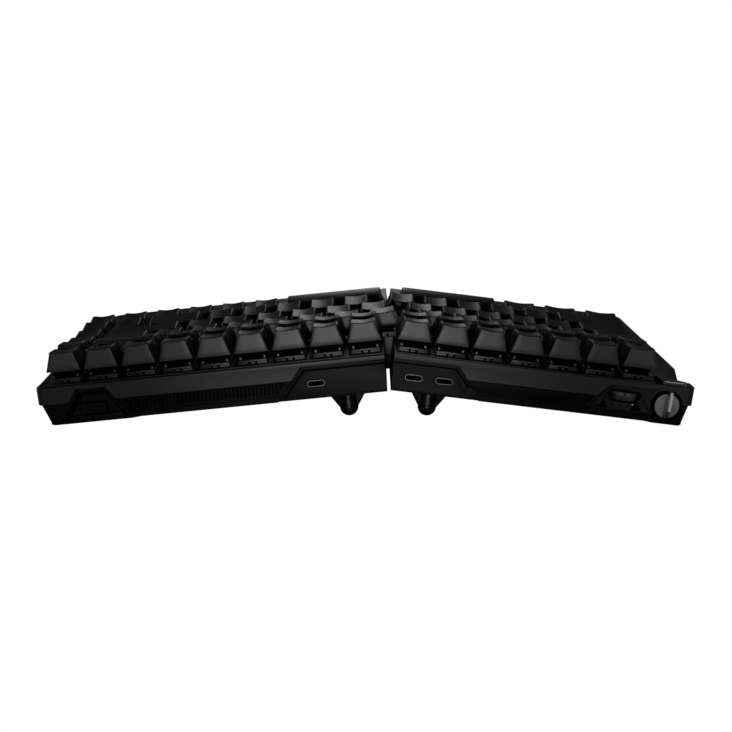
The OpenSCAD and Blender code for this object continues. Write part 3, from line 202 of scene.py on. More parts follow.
def new_material(name):
    material = bpy.data.materials.new(name)
    material.use_nodes = True
    return material, material.node_tree.nodes["Principled BSDF"]


def add_noise(tree, place, scale, detail):
    noise = tree.nodes.new("ShaderNodeTexNoise")
    noise.inputs["Scale"].default_value = scale
    noise.inputs["Detail"].default_value = detail
    tree.links.new(place, noise.inputs["Vector"])
    return noise.outputs["Fac"]


def add_grain(tree, shader, colour, roughness, grain, spreads):
    """Fine grain: a bump, and small changes of roughness and colour over the surface."""
    scale, depth = grain
    rough_spread, colour_spread = spreads
    place = tree.nodes.new("ShaderNodeTexCoord").outputs["Object"]
    fine = add_noise(tree, place, scale, GRAIN_DETAIL)
    cloud = add_noise(tree, place, CLOUD_SCALE, CLOUD_DETAIL)
    bump = tree.nodes.new("ShaderNodeBump")
    bump.inputs["Strength"].default_value = GRAIN_STRENGTH
    bump.inputs["Distance"].default_value = depth
    tree.links.new(fine, bump.inputs["Height"])
    tree.links.new(bump.outputs["Normal"], shader.inputs["Normal"])
    rough = tree.nodes.new("ShaderNodeMapRange")
    rough.inputs["To Min"].default_value = roughness - rough_spread
    rough.inputs["To Max"].default_value = roughness + rough_spread
    tree.links.new(cloud, rough.inputs["Value"])
    tree.links.new(rough.outputs["Result"], shader.inputs["Roughness"])
    ramp = tree.nodes.new("ShaderNodeValToRGB")
    shares = (1 - colour_spread, 1 + colour_spread)
    for element, position, share in zip(ramp.color_ramp.elements, RAMP_ENDS, shares):
        element.position = position
        element.color = (*[c * share for c in colour], 1)
    tree.links.new(fine, ramp.inputs["Fac"])
    tree.links.new(ramp.outputs["Color"], shader.inputs["Base Color"])


def plastic(name, colour, roughness, grain=MOULDED_GRAIN, specular=PLAIN_SPECULAR):
    material, shader = new_material(name)
    shader.inputs["Specular IOR Level"].default_value = specular
    add_grain(material.node_tree, shader, colour, roughness, grain, PLASTIC_SPREADS)
    return material


def metal(name, colour, roughness):
    material, shader = new_material(name)
    shader.inputs["Metallic"].default_value = 1
    add_grain(material.node_tree, shader, colour, roughness, METAL_GRAIN, METAL_SPREADS)
    return material


def glowing(name, colour, strength):
    material, shader = new_material(name)
    shader.inputs["Base Color"].default_value = (*colour, 1)
    shader.inputs["Roughness"].default_value = LENS_ROUGHNESS
    shader.inputs["Emission Color"].default_value = (*colour, 1)
    shader.inputs["Emission Strength"].default_value = strength
    return material


CAP = plastic("cap_plastic", (0.036, 0.034, 0.035), 0.44, CAP_GRAIN, specular=0.42)
# Painted shade: a near-black material for the caps' side faces and the frame's faces turned to the centre.
CAP_FLANK_SHADE = plastic("cap_flank_painted_shade", (0.007, 0.0068, 0.007), 0.5, CAP_GRAIN, specular=0.12)
FRAME_PLASTIC = plastic("frame_plastic", (0.016, 0.0155, 0.016), 0.44, specular=0.34)
CASE = plastic("case_plastic", (0.003, 0.003, 0.0032), 0.55, specular=0.07)
PANEL = plastic("panel_plastic", (0.0045, 0.0045, 0.0047), 0.5, specular=0.1)
# Painted shade: near-black for recesses, cut faces, the knob's cup, the floor between ribs, the switches'
# upper housings and the insides of the ports.
RECESS_SHADE = plastic("recess_painted_shade", (0.0006, 0.0006, 0.0006), 0.6, specular=0.02)
MODE_PANEL = plastic("mode_panel_plastic", (0.009, 0.009, 0.0092), 0.42, specular=0.2)
PLATE = plastic("plate_paint", (0.006, 0.006, 0.0065), 0.45)
HOUSING = plastic("switch_housing", (0.014, 0.014, 0.0145), 0.36, specular=0.35)
# Pale posts; on the latches' hooks this pale colour is a painted highlight.
PALE_POST_AND_HOOK_HIGHLIGHT = plastic("switch_post_and_hook_highlight", (0.07, 0.069, 0.069), 0.3)
RUBBER = plastic("foot_rubber", (0.012, 0.012, 0.012), 0.75, RUBBER_GRAIN)
REST = plastic("rest_plastic", (0.01, 0.01, 0.0105), 0.45)
LEG = plastic("leg_plastic", (0.0025, 0.0025, 0.0027), 0.35, specular=0.15)
BUTTON = plastic("button_plastic", (0.03, 0.03, 0.031), 0.36)
# Painted highlight: a near-white strip along the function button's upper edge.
BUTTON_HIGHLIGHT = plastic("button_painted_highlight", (0.75, 0.75, 0.76), 0.3)
BOARD = plastic("board_mask", (0.002, 0.004, 0.003), 0.4)
STEM = plastic("switch_stem", (0.14, 0.05, 0.03), 0.3)
# Painted highlight: near-white for the crest of the knob's bar.
KNOB_CREST_HIGHLIGHT = plastic("knob_crest_painted_highlight", (0.8, 0.8, 0.8), 0.3)
KNOB = metal("knob_anodised", (0.3, 0.3, 0.305), 0.36)
STEEL = metal("shell_steel", (0.62, 0.62, 0.63), 0.25)
SHELL = metal("shell_blackened", (0.12, 0.12, 0.122), 0.32)
BATTERY = metal("battery_foil", (0.5, 0.51, 0.53), 0.4)
LAMP = glowing("indicator_lamp", (0.9, 0.9, 0.9), 0.3)


# Building pieces. Points nearer than a weld, in metres, become one; a bevel takes the edges
# that turn by more than SHARP_ANGLE, faces that turn by less than FLAT_ANGLE are joined, and
# shading is smooth over edges that turn by less than SMOOTH_ANGLE.

PIECE_WELD = 0.000001
NODE_WELD = 0.000004
FLAT_ANGLE = 0.6
SHARP_ANGLE = 32
SMOOTH_ANGLE = 40
WEIGHT_LAYER = "bevel_weight_edge"


class Shape:
    """Points, faces and a material index for each face, in a half's own frame in millimetres."""

    def __init__(self):
        self.points, self.faces, self.slots = [], [], []

    def add(self, points, faces, slot=0):
        first = len(self.points)
        self.points.extend(points)
        self.faces.extend(tuple(first + i for i in face) for face in faces)
        self.slots.extend([slot] * len(faces))

    def paint(self, slot, test):
        """Gives the faces whose outward or inward direction passes the test another material."""
        for n, face in enumerate(self.faces):
            a, b, c = (Vector(self.points[i]) for i in face[:3])
            normal = (b - a).cross(c - b)
            if normal.length and test(normal.normalized()):
                self.slots[n] = slot

    def copy_to(self, other, dx, dy):
        first = len(other.points)
        other.points.extend((x + dx, y + dy, z) for x, y, z in self.points)
        other.faces.extend(tuple(first + i for i in face) for face in self.faces)
        other.slots.extend(self.slots)


def new_object(name, data):
    thing = bpy.data.objects.new(name, data)
    bpy.context.scene.collection.objects.link(thing)
    return thing


def turn_faces_out(mesh):
    """Joins points that touch, and turns every face outward."""
    work = bmesh.new()
    work.from_mesh(mesh)
    bmesh.ops.remove_doubles(work, verts=work.verts, dist=PIECE_WELD)
    bmesh.ops.recalc_face_normals(work, faces=work.faces)
    work.to_mesh(mesh)
    work.free()


def finish_piece(piece, body, replaced):
    mesh = piece.data
    mesh.polygons.foreach_set("use_smooth", [True] * len(mesh.polygons))
    mesh.set_sharp_from_angle(angle=math.radians(SMOOTH_ANGLE))
    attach(piece, body)
    if replaced:
        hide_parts(*replaced)


def make_piece(name, side, shape, materials, body, replaced=(), turn_out=False):
    """A piece from a shape in a half's own frame."""
    mesh = bpy.data.meshes.new(name)
    mesh.from_pydata(shape.points, [], shape.faces)
    mesh.polygons.foreach_set("material_index", shape.slots)
    mesh.transform(HALF[side])
    if side == "left":
        mesh.flip_normals()
    if turn_out:
        turn_faces_out(mesh)
    for material in materials:
        mesh.materials.append(material)
    finish_piece(new_object(name, mesh), body, replaced)


def add_bevel(piece, width, segments, by_weight):
    bevel = piece.modifiers.new("rounded_edges", "BEVEL")
    bevel.width = width * MM
    bevel.segments = segments
    bevel.limit_method = "WEIGHT" if by_weight else "ANGLE"
    bevel.angle_limit = math.radians(SHARP_ANGLE)
    bevel.miter_outer = "MITER_SHARP"


def prism(shape, outline, y_front, y_back):
    """A straight solid from an outline in x and z, between two places along y."""
    count = len(outline)
    points = [(x, y, z) for y in (y_front, y_back) for x, z in outline]
    sides = [(n, (n + 1) % count, count + (n + 1) % count, count + n) for n in range(count)]
    shape.add(points, [*sides, tuple(reversed(range(count))), tuple(range(count, 2 * count))])


def carve(piece, side, cuts):
    """Cuts prisms out of a piece; the cut faces take the near-black painted shade of the cutter."""
    shape = Shape()
    for outline, y_front, y_back in cuts:
        prism(shape, outline, y_front, y_back)
    mesh = bpy.data.meshes.new("cutter")
    mesh.from_pydata(shape.points, [], shape.faces)
    mesh.transform(HALF[side])
    turn_faces_out(mesh)
    mesh.materials.append(RECESS_SHADE)
    cutter = new_object("cutter", mesh)
    cut = piece.modifiers.new("carving", "BOOLEAN")
    cut.object = cutter
    cut.solver = "EXACT"
    cut.use_self = True
    cut.material_mode = "TRANSFER"
    carved = piece.evaluated_get(bpy.context.evaluated_depsgraph_get())
    mesh = bpy.data.meshes.new_from_object(carved)
    piece.modifiers.remove(cut)
    piece.data = mesh
    bpy.data.objects.remove(cutter)


def offset_corner(before, corner, after, inset_in, inset_out):
    """Where two sides of an outline meet once each is moved inward by its own inset."""
    def moved(a, b, inset):
        dx, dz = b[0] - a[0], b[1] - a[1]
        length = math.hypot(dx, dz)
        return (a[0] - dz / length * inset, a[1] + dx / length * inset), (dx, dz)
    (px, pz), (ux, uz) = moved(before, corner, inset_in)
    (qx, qz), (vx, vz) = moved(corner, after, inset_out)
    share = ((qx - px) * vz - (qz - pz) * vx) / (ux * vz - uz * vx)
    return px + ux * share, pz + uz * share


def inset_outline(outline, insets):
    """An anticlockwise outline in x and z with each side moved inward by its own inset."""
    count = len(outline)
    return [offset_corner(outline[n - 1], outline[n], outline[(n + 1) % count], insets[n - 1], insets[n])
            for n in range(count)]


def node_mesh(node, side, weigh):
    """A CAD node's mesh without doubled points or split flats; weigh sets its sharp edges' bevel weights."""
    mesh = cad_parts[node].data.copy()
    mesh.name = node + "_finished"
    work = bmesh.new()
    work.from_mesh(mesh)
    bmesh.ops.remove_doubles(work, verts=work.verts, dist=NODE_WELD)
    bmesh.ops.dissolve_limit(
        work, angle_limit=math.radians(FLAT_ANGLE), verts=work.verts, edges=work.edges)
    if weigh:
        layers = work.edges.layers.float
        layer = layers.get(WEIGHT_LAYER) or layers.new(WEIGHT_LAYER)
        back = HALF[side].inverted()
        for edge in work.edges:
            if len(edge.link_faces) == 2 and edge.calc_face_angle(0) > math.radians(SHARP_ANGLE):
                edge[layer] = weigh([back @ point.co for point in edge.verts])
    work.to_mesh(mesh)
    work.free()
    return mesh


def rounded_copy(node, side, body, material, width, segments=2, weigh=None, cuts=(), accent=None):
    """A copy of a CAD node with its edges rounded.

    weigh gives each sharp edge a share of the width; accent is a second material and the test,
    on a face's middle and normal in the half's own frame, that picks the faces which take it.
    """
    mesh = node_mesh(node, side, weigh)
    mesh.materials.clear()
    mesh.materials.append(material)
    mesh.polygons.foreach_set("material_index", [0] * len(mesh.polygons))
    piece = new_object(node + "_finished", mesh)
    if accent:
        second, test = accent
        mesh.materials.append(second)
        back = HALF[side].inverted()
        for face in mesh.polygons:
            normal = (back.to_3x3() @ face.normal).normalized()
            face.material_index = 1 if test(back @ face.center, normal) else 0
    if cuts:
        carve(piece, side, cuts)
    add_bevel(piece, width, segments, by_weight=bool(weigh))
    finish_piece(piece, body, [node])


def rounded_rectangle(x0, x1, y0, y1, radius, corner_steps=4, side_steps=5):
    """Points round a rectangle with round corners, anticlockwise, always the same number."""
    points = []
    corners = [(x1 - radius, y1 - radius, 0), (x0 + radius, y1 - radius, 90),
               (x0 + radius, y0 + radius, 180), (x1 - radius, y0 + radius, 270)]
    for n, (cx, cy, start) in enumerate(corners):
        arc = []
        for step in range(corner_steps + 1):
            angle = math.radians(start + 90 * step / corner_steps)
            arc.append((cx + radius * math.cos(angle), cy + radius * math.sin(angle)))
        points.extend(arc)
        next_x, next_y, next_start = corners[(n + 1) % 4]
        angle = math.radians(next_start)
        end = (next_x + radius * math.cos(angle), next_y + radius * math.sin(angle))
        for step in range(1, side_steps):
            share = step / side_steps
            points.append(tuple(a + (b - a) * share for a, b in zip(arc[-1], end)))
    return points


def flat_ring(x, z, wide, tall, radius, y):
    """A round-cornered ring in a plane of constant y."""
    return [(px, y, pz) for px, pz in rounded_rectangle(
        x - wide / 2, x + wide / 2, z - tall / 2, z + tall / 2, radius, corner_steps=6, side_steps=2)]


def stack_rings(shape, rings, slot=0, close_first=True, close_last=True):
    """Joins rings of equal length into a skin; a closed end is a fan of faces round its middle."""
    count = len(rings[0])
    points = [point for ring in rings for point in ring]
    faces = []
    for level in range(len(rings) - 1):
        low, high = level * count, (level + 1) * count
        for n in range(count):
            after = (n + 1) % count
            faces.append((low + n, low + after, high + after, high + n))
    last = (len(rings) - 1) * count
    for wanted, ring, first in ((close_first, rings[0], 0), (close_last, rings[-1], last)):
        if wanted:
            middle = len(points)
            points.append(tuple(sum(p[axis] for p in ring) / count for axis in range(3)))
            for n in range(count):
                pair = (first + n, first + (n + 1) % count)
                faces.append((*pair, middle) if first else (*reversed(pair), middle))
    shape.add(points, faces, slot)


def add_box(shape, x0, x1, y0, y1, z0, z1, radius=0.4, edge=0.15, slot=0):
    """A box with round upright corners and eased upper and lower edges."""
    rings = []
    for z, inset in ((z0, edge), (z0 + edge, 0), (z1 - edge, 0), (z1, edge)):
        rings.append([(x, y, z) for x, y in rounded_rectangle(
            x0 + inset, x1 - inset, y0 + inset, y1 - inset, radius, corner_steps=3, side_steps=1)])
    stack_rings(shape, rings, slot)


# Keycaps, each with the slider of its switch. A face points a way if that part of its normal is
# more than FACING. WALL_LEVELS are shares of the wall's height; WALL_FOLLOW draws the wider foot in
# to the top whose curve it follows; EDGE_SPAN is the height over which the edge leans as the walls do.

FACING = 0.8
CAP_CORNER = 1.3
CAP_EDGE = 0.55
CAP_FOOT_INSET = 0.12
HOLLOW_CORNER = CAP_CORNER * 0.6
WALL_LEVELS = (0, 0.03, 0.3, 0.6, 0.85)
WALL_FOLLOW = 0.2
EDGE_STEPS = 5
EDGE_SPAN = 9
TOP_SCALES = (0.93, 0.78, 0.6, 0.4, 0.2)
STEM_HALF, STEM_LOW, STEM_TOP = 3.2, -4.5, 0.5
CROSS_HALF, CROSS_THIN, CROSS_TOP = 2, 0.58, 4.05
CROSS_CORNER, CROSS_EDGE = 0.1, 0.05
# The flank slot takes the painted shade of the caps' side faces.
STEM_SLOT, SHADED_FLANK_SLOT = 1, 2


def cap_top(units, row):
    """Height of a cap's top surface over its base, as a function of the place on the cap."""
    half_top = units * PITCH / 2 - CAP_GAP / 2 - SIDE_LEAN
    rear_top_y = CAP_BASE / 2 - REAR_LEAN
    domed = units >= DOMED_UNITS

    def height(x, y):
        share = (rear_top_y - y) / CAP_TOP_DEPTH
        level = REAR_HEIGHTS[row] - TOP_FALLS[row] * share
        if domed:
            return level + DOME_RISE * (1 - (2 * share - 1) ** 2)
        return level - DISH_DEPTH * (1 - min(1, abs(x / half_top)) ** 2)

    return height


def cap_shape(units, row):
    """A hollow keycap: leaning walls, a rounded upper edge and a dished or domed top."""
    shape = Shape()
    half = units * PITCH / 2 - CAP_GAP / 2
    height = cap_top(units, row)
    front_lean = CAP_BASE - CAP_TOP_DEPTH - REAR_LEAN
    top_middle = CAP_BASE / 2 - REAR_LEAN - CAP_TOP_DEPTH / 2

    def outline(level, inset):
        return rounded_rectangle(
            -half + SIDE_LEAN * level + inset, half - SIDE_LEAN * level - inset,
            -CAP_BASE / 2 + front_lean * level + inset, CAP_BASE / 2 - REAR_LEAN * level - inset,
            CAP_CORNER)

    def hollow(level, front_level, z):
        return [(x, y, z) for x, y in rounded_rectangle(
            -half + CAP_WALL + SIDE_LEAN * level, half - CAP_WALL - SIDE_LEAN * level,
            -CAP_BASE / 2 + CAP_WALL + front_lean * front_level,
            CAP_BASE / 2 - CAP_WALL - REAR_LEAN * level, HOLLOW_CORNER)]

    rings = []
    for level in WALL_LEVELS:
        follow = 1 - WALL_FOLLOW * (1 - level)
        inset = 0 if level else CAP_FOOT_INSET
        rings.append([(x, y, level * (height(x * follow, y) - CAP_EDGE)) for x, y in outline(level, inset)])
    for step in range(EDGE_STEPS + 1):
        angle = math.radians(90 * step / EDGE_STEPS)
        inset = CAP_EDGE * (1 - math.cos(angle))
        drop = CAP_EDGE * (1 - math.sin(angle))
        rings.append([(x, y, height(x, y) - drop) for x, y in outline(1 - drop / EDGE_SPAN, inset)])
    rim = rings[-1]
    for scale in TOP_SCALES:
        places = [(x * scale, top_middle + (y - top_middle) * scale) for x, y, z in rim]
        rings.append([(x, y, height(x, y)) for x, y in places])
    stack_rings(shape, rings, close_first=False)
    # The last point is the middle of the closed top, which the dish or dome moves
    shape.points[-1] = (0, top_middle, height(0, top_middle))

    foot = [(x, y, 0) for x, y in outline(0, CAP_FOOT_INSET)]
    rear_level = CAP_HOLLOW / REAR_HEIGHTS[row]
    front_level = CAP_HOLLOW / (REAR_HEIGHTS[row] - TOP_FALLS[row])
    inner = [hollow(0, 0, 0), hollow(rear_level, front_level, CAP_HOLLOW)]
    stack_rings(shape, [foot, *inner], close_first=False)
    # The side faces take the darker flank material, a painted shade.
    shape.paint(SHADED_FLANK_SLOT, lambda normal: abs(normal.x) > FACING)
    return shape


def stem_shape():
    """The slider of a switch, with the cross that a cap is pressed onto."""
    shape = Shape()
    add_box(shape, -STEM_HALF, STEM_HALF, -STEM_HALF, STEM_HALF, STEM_LOW, STEM_TOP, slot=STEM_SLOT)
    for half_x, half_y in ((CROSS_HALF, CROSS_THIN), (CROSS_THIN, CROSS_HALF)):
        add_box(shape, -half_x, half_x, -half_y, half_y, STEM_TOP, CROSS_TOP,
                CROSS_CORNER, CROSS_EDGE, STEM_SLOT)
    return shape


def make_caps():
    caps = {}
    stem = stem_shape()
    for node, (side, row, runs) in KEYS.items():
        shape = Shape()
        for run in runs:
            kind = (run[1], row)
            if kind not in caps:
                caps[kind] = cap_shape(*kind)
            for x in key_places(run):
                caps[kind].copy_to(shape, x, row_y(row))
                stem.copy_to(shape, x, row_y(row))
        make_piece(node + "_caps", side, shape, [CAP, STEM, CAP_FLANK_SHADE], node + "_body", [node])


# Switch housings, seen between the caps and the deck: profiles of (half width, height),
# a post in each corner, and two small hooked latches each at the front and at the rear

WELL_HALF, WELL_FLOOR = 3.35, -8.4
HOUSING_SEAM = (6.9, -3.8)
HOUSING_LOWER = ((6.8, -11.1), (6.95, -10.95), (6.95, -6.1), (7.6, -6.1), (7.8, -5.9),
                 (7.8, -5.2), (7.6, -5), (7.6, -4.05), (7.35, -3.8), HOUSING_SEAM)
HOUSING_UPPER = (HOUSING_SEAM, (5.6, 0.2), (5.35, 0.45), (WELL_HALF, 0.45), (WELL_HALF, WELL_FLOOR))
HOUSING_CORNER = 0.7
POST_PLACE, POST_HALF = (6.05, 6.2), 0.6
POST_LOW, POST_TOP = -3.8, -2.1
POST_CORNER, POST_EDGE = 0.25, 0.3
LATCH_PLACE, LATCH_FRONT = (1.7, 7.75), 0.25
LATCH_HALF, LATCH_REAR = 0.65, 0.2
HOOK_HALF, HOOK_REAR = 0.45, 0.3
LATCH_LOW, LATCH_TOP, HOOK_TOP = -5.9, -4.6, -3.9
LATCH_CORNER, HOOK_EDGE = 0.1, 0.08
# The dark slot holds the near-black painted shade of the upper housing and the latches; the pale slot holds
# the posts and the hooks' painted highlight.
SHADE_SLOT, PALE_AND_HIGHLIGHT_SLOT = 1, 2


def switch_shape():
    """A switch housing with its flange, and a square well in which the slider travels."""
    shape = Shape()

    def level(half, z):
        return [(x, y, z) for x, y in rounded_rectangle(
            -half, half, -half, half, HOUSING_CORNER, corner_steps=3, side_steps=1)]

    stack_rings(shape, [level(*place) for place in HOUSING_LOWER], close_last=False)
    stack_rings(shape, [level(*place) for place in HOUSING_UPPER], SHADE_SLOT, close_first=False)
    for side_x in (-1, 1):
        for side_y in (-1, 1):
            x, y = side_x * POST_PLACE[0], side_y * POST_PLACE[1]
            add_box(shape, x - POST_HALF, x + POST_HALF, y - POST_HALF, y + POST_HALF,
                    POST_LOW, POST_TOP, POST_CORNER, POST_EDGE, PALE_AND_HIGHLIGHT_SLOT)
            x, y = side_x * LATCH_PLACE[0], side_y * LATCH_PLACE[1]
            add_box(shape, x - LATCH_HALF, x + LATCH_HALF, y - LATCH_FRONT, y + LATCH_REAR,
                    LATCH_LOW, LATCH_TOP, LATCH_CORNER, slot=SHADE_SLOT)
            add_box(shape, x - HOOK_HALF, x + HOOK_HALF, y - LATCH_FRONT, y + HOOK_REAR,
                    LATCH_TOP, HOOK_TOP, LATCH_CORNER, HOOK_EDGE, PALE_AND_HIGHLIGHT_SLOT)
    return shape


def make_switches():
    one = switch_shape()
    for side, body in HALF_BODY.items():
        shape = Shape()
        for key_side, row, runs in KEYS.values():
            if key_side == side:
                for run in runs:
                    for x in key_places(run):
                        one.copy_to(shape, x, row_y(row))
        node = side + "_switches"
        make_piece(node + "_housings", side, shape, [HOUSING, RECESS_SHADE, PALE_POST_AND_HOOK_HIGHLIGHT], body, [node])


# Which edges of a shell are rounded: how near a place counts as on the top or the outside,
# how tall an upright edge is, and the share of the width that the lesser edges take

NEAR_TOP, NEAR_OUTSIDE = 0.05, 0.1
FLANK_REACH = 4.2
UPRIGHT_RISE = 3
PALM_START = 1
UPRIGHT_SHARE = 0.5
EASED_SHARE = 0.25
REST_SHARE = 0.15


def is_on_top(ends):
    return all(point.z > -RIM_DEPTH - NEAR_TOP for point in ends)


def frame_weight(side):
    """The rim's outer upper edge is rounded most; the other edges are only eased."""
    def is_outside(point):
        beyond = point.y > REAR_Y - NEAR_OUTSIDE or point.y < FRONT_Y + NEAR_OUTSIDE
        return beyond or point.x > OUT[side] - FLANK_REACH

    def weight(ends):
        if is_on_top(ends) and all(is_outside(point) for point in ends):
            return 1.0
        upright = abs(ends[0].z - ends[1].z) > UPRIGHT_RISE
        return UPRIGHT_SHARE if upright else EASED_SHARE

    return weight


def rest_weight(ends):
    """A palm rest's upper edges are rounded well, and its other edges are only eased."""
    ahead = any(point.y < FRONT_Y - PALM_START for point in ends)
    return 1.0 if is_on_top(ends) and ahead else REST_SHARE


# Port panels; PAST is how far any cut runs past the face or the edge that it opens

PAST = 1
PORT_LOW_X = {"right": 54.6, "left": 45}
PORT_TOP_X = {"right": 42.2, "left": 32.6}
PORT_INNER_X = 0.65
BAND = 1.5
GROOVE = 0.7
GROOVE_DEEP = 0.8


def port_grooves(side):
    """A groove that runs beside the slanted and the upper edge of a port panel."""
    edge = [(PORT_INNER_X, -PORT_PANEL_LOW), (PORT_LOW_X[side], -PORT_PANEL_LOW),
            (PORT_TOP_X[side], -PANEL_TOP), (PORT_INNER_X, -PANEL_TOP)]
    outer = inset_outline(edge, (-PAST, BAND, BAND, -PAST))
    inner = inset_outline(edge, (-PAST, BAND + GROOVE, BAND + GROOVE, -PAST))
    groove = [outer[1], outer[2], outer[3], inner[3], inner[2], inner[1]]
    return [(groove, FACE_Y - GROOVE_DEEP, FACE_Y + PAST)]


# Mode panel: its window, two recesses, two fine lines, three dots, and a lamp

WINDOW_X, WINDOW_DEPTH, WINDOW_TALL = 117.3, 14.7, 4.4
WINDOW_TOP, WINDOW_LOW = 15.4, 10.2
WINDOW_CORNER = 1
WINDOW_FRAME = 0.9
MODE_DEEP = 1
LINE_WIDE, LINE_DEEP = 0.35, 0.3
MODE_LINES = (
    ((101.9, -19.2), (107.4, -12.6)),
    ((125.6, -14), (131.4, -21.2)),
)
MARK = 0.9
MODE_MARKS = ((111.6, -19.3), (115.9, -19.4), (119.9, -19.6))
MODE_HOLES = (
    ((104.3, -21.3), (109.9, -20.9), (107.2, -17.2)),
    ((121.2, -21.3), (127, -21.1), (123.8, -16.9)),
)
LED_PLACE, LED_WIDE = (122, -18.2), 0.45
LED_CORNER = LED_WIDE / 2.1
LED_SUNK, LED_PROUD = 0.4, 0.05


def line_outline(ends):
    """A narrow straight strip between two points in x and z."""
    (x0, z0), (x1, z1) = ends
    half_share = LINE_WIDE / 2 / math.hypot(x1 - x0, z1 - z0)
    dx, dz = (z0 - z1) * half_share, (x1 - x0) * half_share
    return [(x0 - dx, z0 - dz), (x1 - dx, z1 - dz), (x1 + dx, z1 + dz), (x0 + dx, z0 + dz)]


def mark_outline(x, z):
    """A small dot with round corners."""
    half = MARK / 2
    return rounded_rectangle(x - half, x + half, z - half, z + half, MARK / 3, corner_steps=2, side_steps=1)


def mode_cuts():
    """The window's surround and the recesses beside it, and the finer lines and dots; the cut faces take
    painted shade.
    """
    top, low = WINDOW_TALL / 2 - WINDOW_DEPTH, -WINDOW_TALL / 2 - WINDOW_DEPTH
    half_top, half_low = WINDOW_TOP / 2, WINDOW_LOW / 2
    window = [(WINDOW_X - half_low, low), (WINDOW_X + half_low, low),
              (WINDOW_X + half_top, top - WINDOW_CORNER), (WINDOW_X + half_top - WINDOW_CORNER, top),
              (WINDOW_X - half_top + WINDOW_CORNER, top), (WINDOW_X - half_top, top - WINDOW_CORNER)]
    surround = inset_outline(window, [-WINDOW_FRAME] * len(window))
    fine = [line_outline(line) for line in MODE_LINES] + [mark_outline(*mark) for mark in MODE_MARKS]
    return ([(outline, FACE_Y - MODE_DEEP, FACE_Y + PAST) for outline in (surround, *MODE_HOLES)]
            + [(outline, FACE_Y - LINE_DEEP, FACE_Y + PAST) for outline in fine])


def make_mode_lamp():
    lamp = Shape()
    stack_rings(lamp, [flat_ring(*LED_PLACE, LED_WIDE, LED_WIDE, LED_CORNER, y)
                       for y in (FACE_Y - LED_SUNK, FACE_Y + LED_PROUD)])
    make_piece("mode_lamp", "left", lamp, [LAMP], "left_half", turn_out=True)


# Receiver's bay

BAY_X, BAY_LOW, BAY_TOP = 148.6, 36.8, 13.6
BAY_EDGE = 1.2
BAY_GAP = {"outer": 3, "top": 2.3, "inner": 1.1}
BAY_DEEP = 2.4
RECEIVER_DEPTH = 19.4
RECEIVER_ROOM = (14.4, 6.9)
RECEIVER_CORNER = 1.4


def bay_cuts():
    """A deep chevron round the receiver's bay, open at its foot, and a gap round the receiver."""
    edge = [(BAY_X - BAY_LOW / 2, -PORT_PANEL_LOW), (BAY_X + BAY_LOW / 2, -PORT_PANEL_LOW),
            (BAY_X + BAY_TOP / 2, -PANEL_TOP), (BAY_X - BAY_TOP / 2, -PANEL_TOP)]
    outer = inset_outline(edge, (-PAST, BAY_EDGE, BAY_EDGE, BAY_EDGE))
    inner = inset_outline(edge, (-PAST, *[BAY_EDGE + BAY_GAP[part] for part in ("outer", "top", "inner")]))
    chevron = [outer[1], outer[2], outer[3], outer[0], inner[0], inner[3], inner[2], inner[1]]
    wide, tall = RECEIVER_ROOM
    room = rounded_rectangle(
        BAY_X - wide / 2, BAY_X + wide / 2, -RECEIVER_DEPTH - tall / 2, -RECEIVER_DEPTH + tall / 2,
        RECEIVER_CORNER, corner_steps=3, side_steps=1)
    return [(outline, REAR_Y - BAY_DEEP, REAR_Y + PAST) for outline in (chevron, room)]


# USB-C ports; a slack keeps a short straight stretch between two round ends

USB_NODES = {"right": "right_usb_port", "left": "left_usb_ports"}
USB_WALL = 0.35
USB_LONG = 7.3
USB_LIP = 0.08
BORE_FLOOR = 1
ROUND_SLACK, LIP_SLACK = 0.01, 0.02
TONGUE_WIDE, TONGUE_TALL = 6.6, 0.7
TONGUE_CORNER, TONGUE_BACK = 0.2, 0.6


def slot_ring(x, wide, tall, y, slack=ROUND_SLACK):
    """A ring with round ends at a port's height."""
    return flat_ring(x, -USB_DEPTH, wide, tall, tall / 2 - slack, y)


def add_usb_port(shape, x):
    """A metal shell; its inside takes the near-black painted shade, and so does the dark tongue."""
    back, floor = FACE_Y - USB_LONG, FACE_Y - USB_LONG + BORE_FLOOR
    inner_wide, inner_tall = USB_WIDE - 2 * USB_WALL, USB_TALL - 2 * USB_WALL
    mouth = slot_ring(x, inner_wide, inner_tall, FACE_Y)
    shell = [slot_ring(x, USB_WIDE, USB_TALL, back),
             slot_ring(x, USB_WIDE, USB_TALL, FACE_Y - USB_LIP),
             slot_ring(x, USB_WIDE - 2 * USB_LIP, USB_TALL - 2 * USB_LIP, FACE_Y, LIP_SLACK),
             mouth]
    stack_rings(shape, shell, close_last=False)
    bore = [mouth, slot_ring(x, inner_wide, inner_tall, floor)]
    stack_rings(shape, bore, SHADE_SLOT, close_first=False)
    tongue = [flat_ring(x, -USB_DEPTH, TONGUE_WIDE, TONGUE_TALL, TONGUE_CORNER, y)
              for y in (floor, FACE_Y - TONGUE_BACK)]
    stack_rings(shape, tongue, SHADE_SLOT)


def make_usb_ports():
    for side, places in USB_PLACES.items():
        shape = Shape()
        for x in places:
            add_usb_port(shape, x)
        node = USB_NODES[side]
        make_piece(node + "_shells", side, shape, [SHELL, RECESS_SHADE], HALF_BODY[side], [node],
                   turn_out=True)


# Case pieces: how far the edges of each are rounded, and in how many steps where not in two.
# The first three functions are accent tests: the floor between the strip's ribs and the faces turned
# to the centre take painted shade, and the knob's crest a painted highlight. That floor and the
# painted highlight along the function button's upper edge are given by their places.

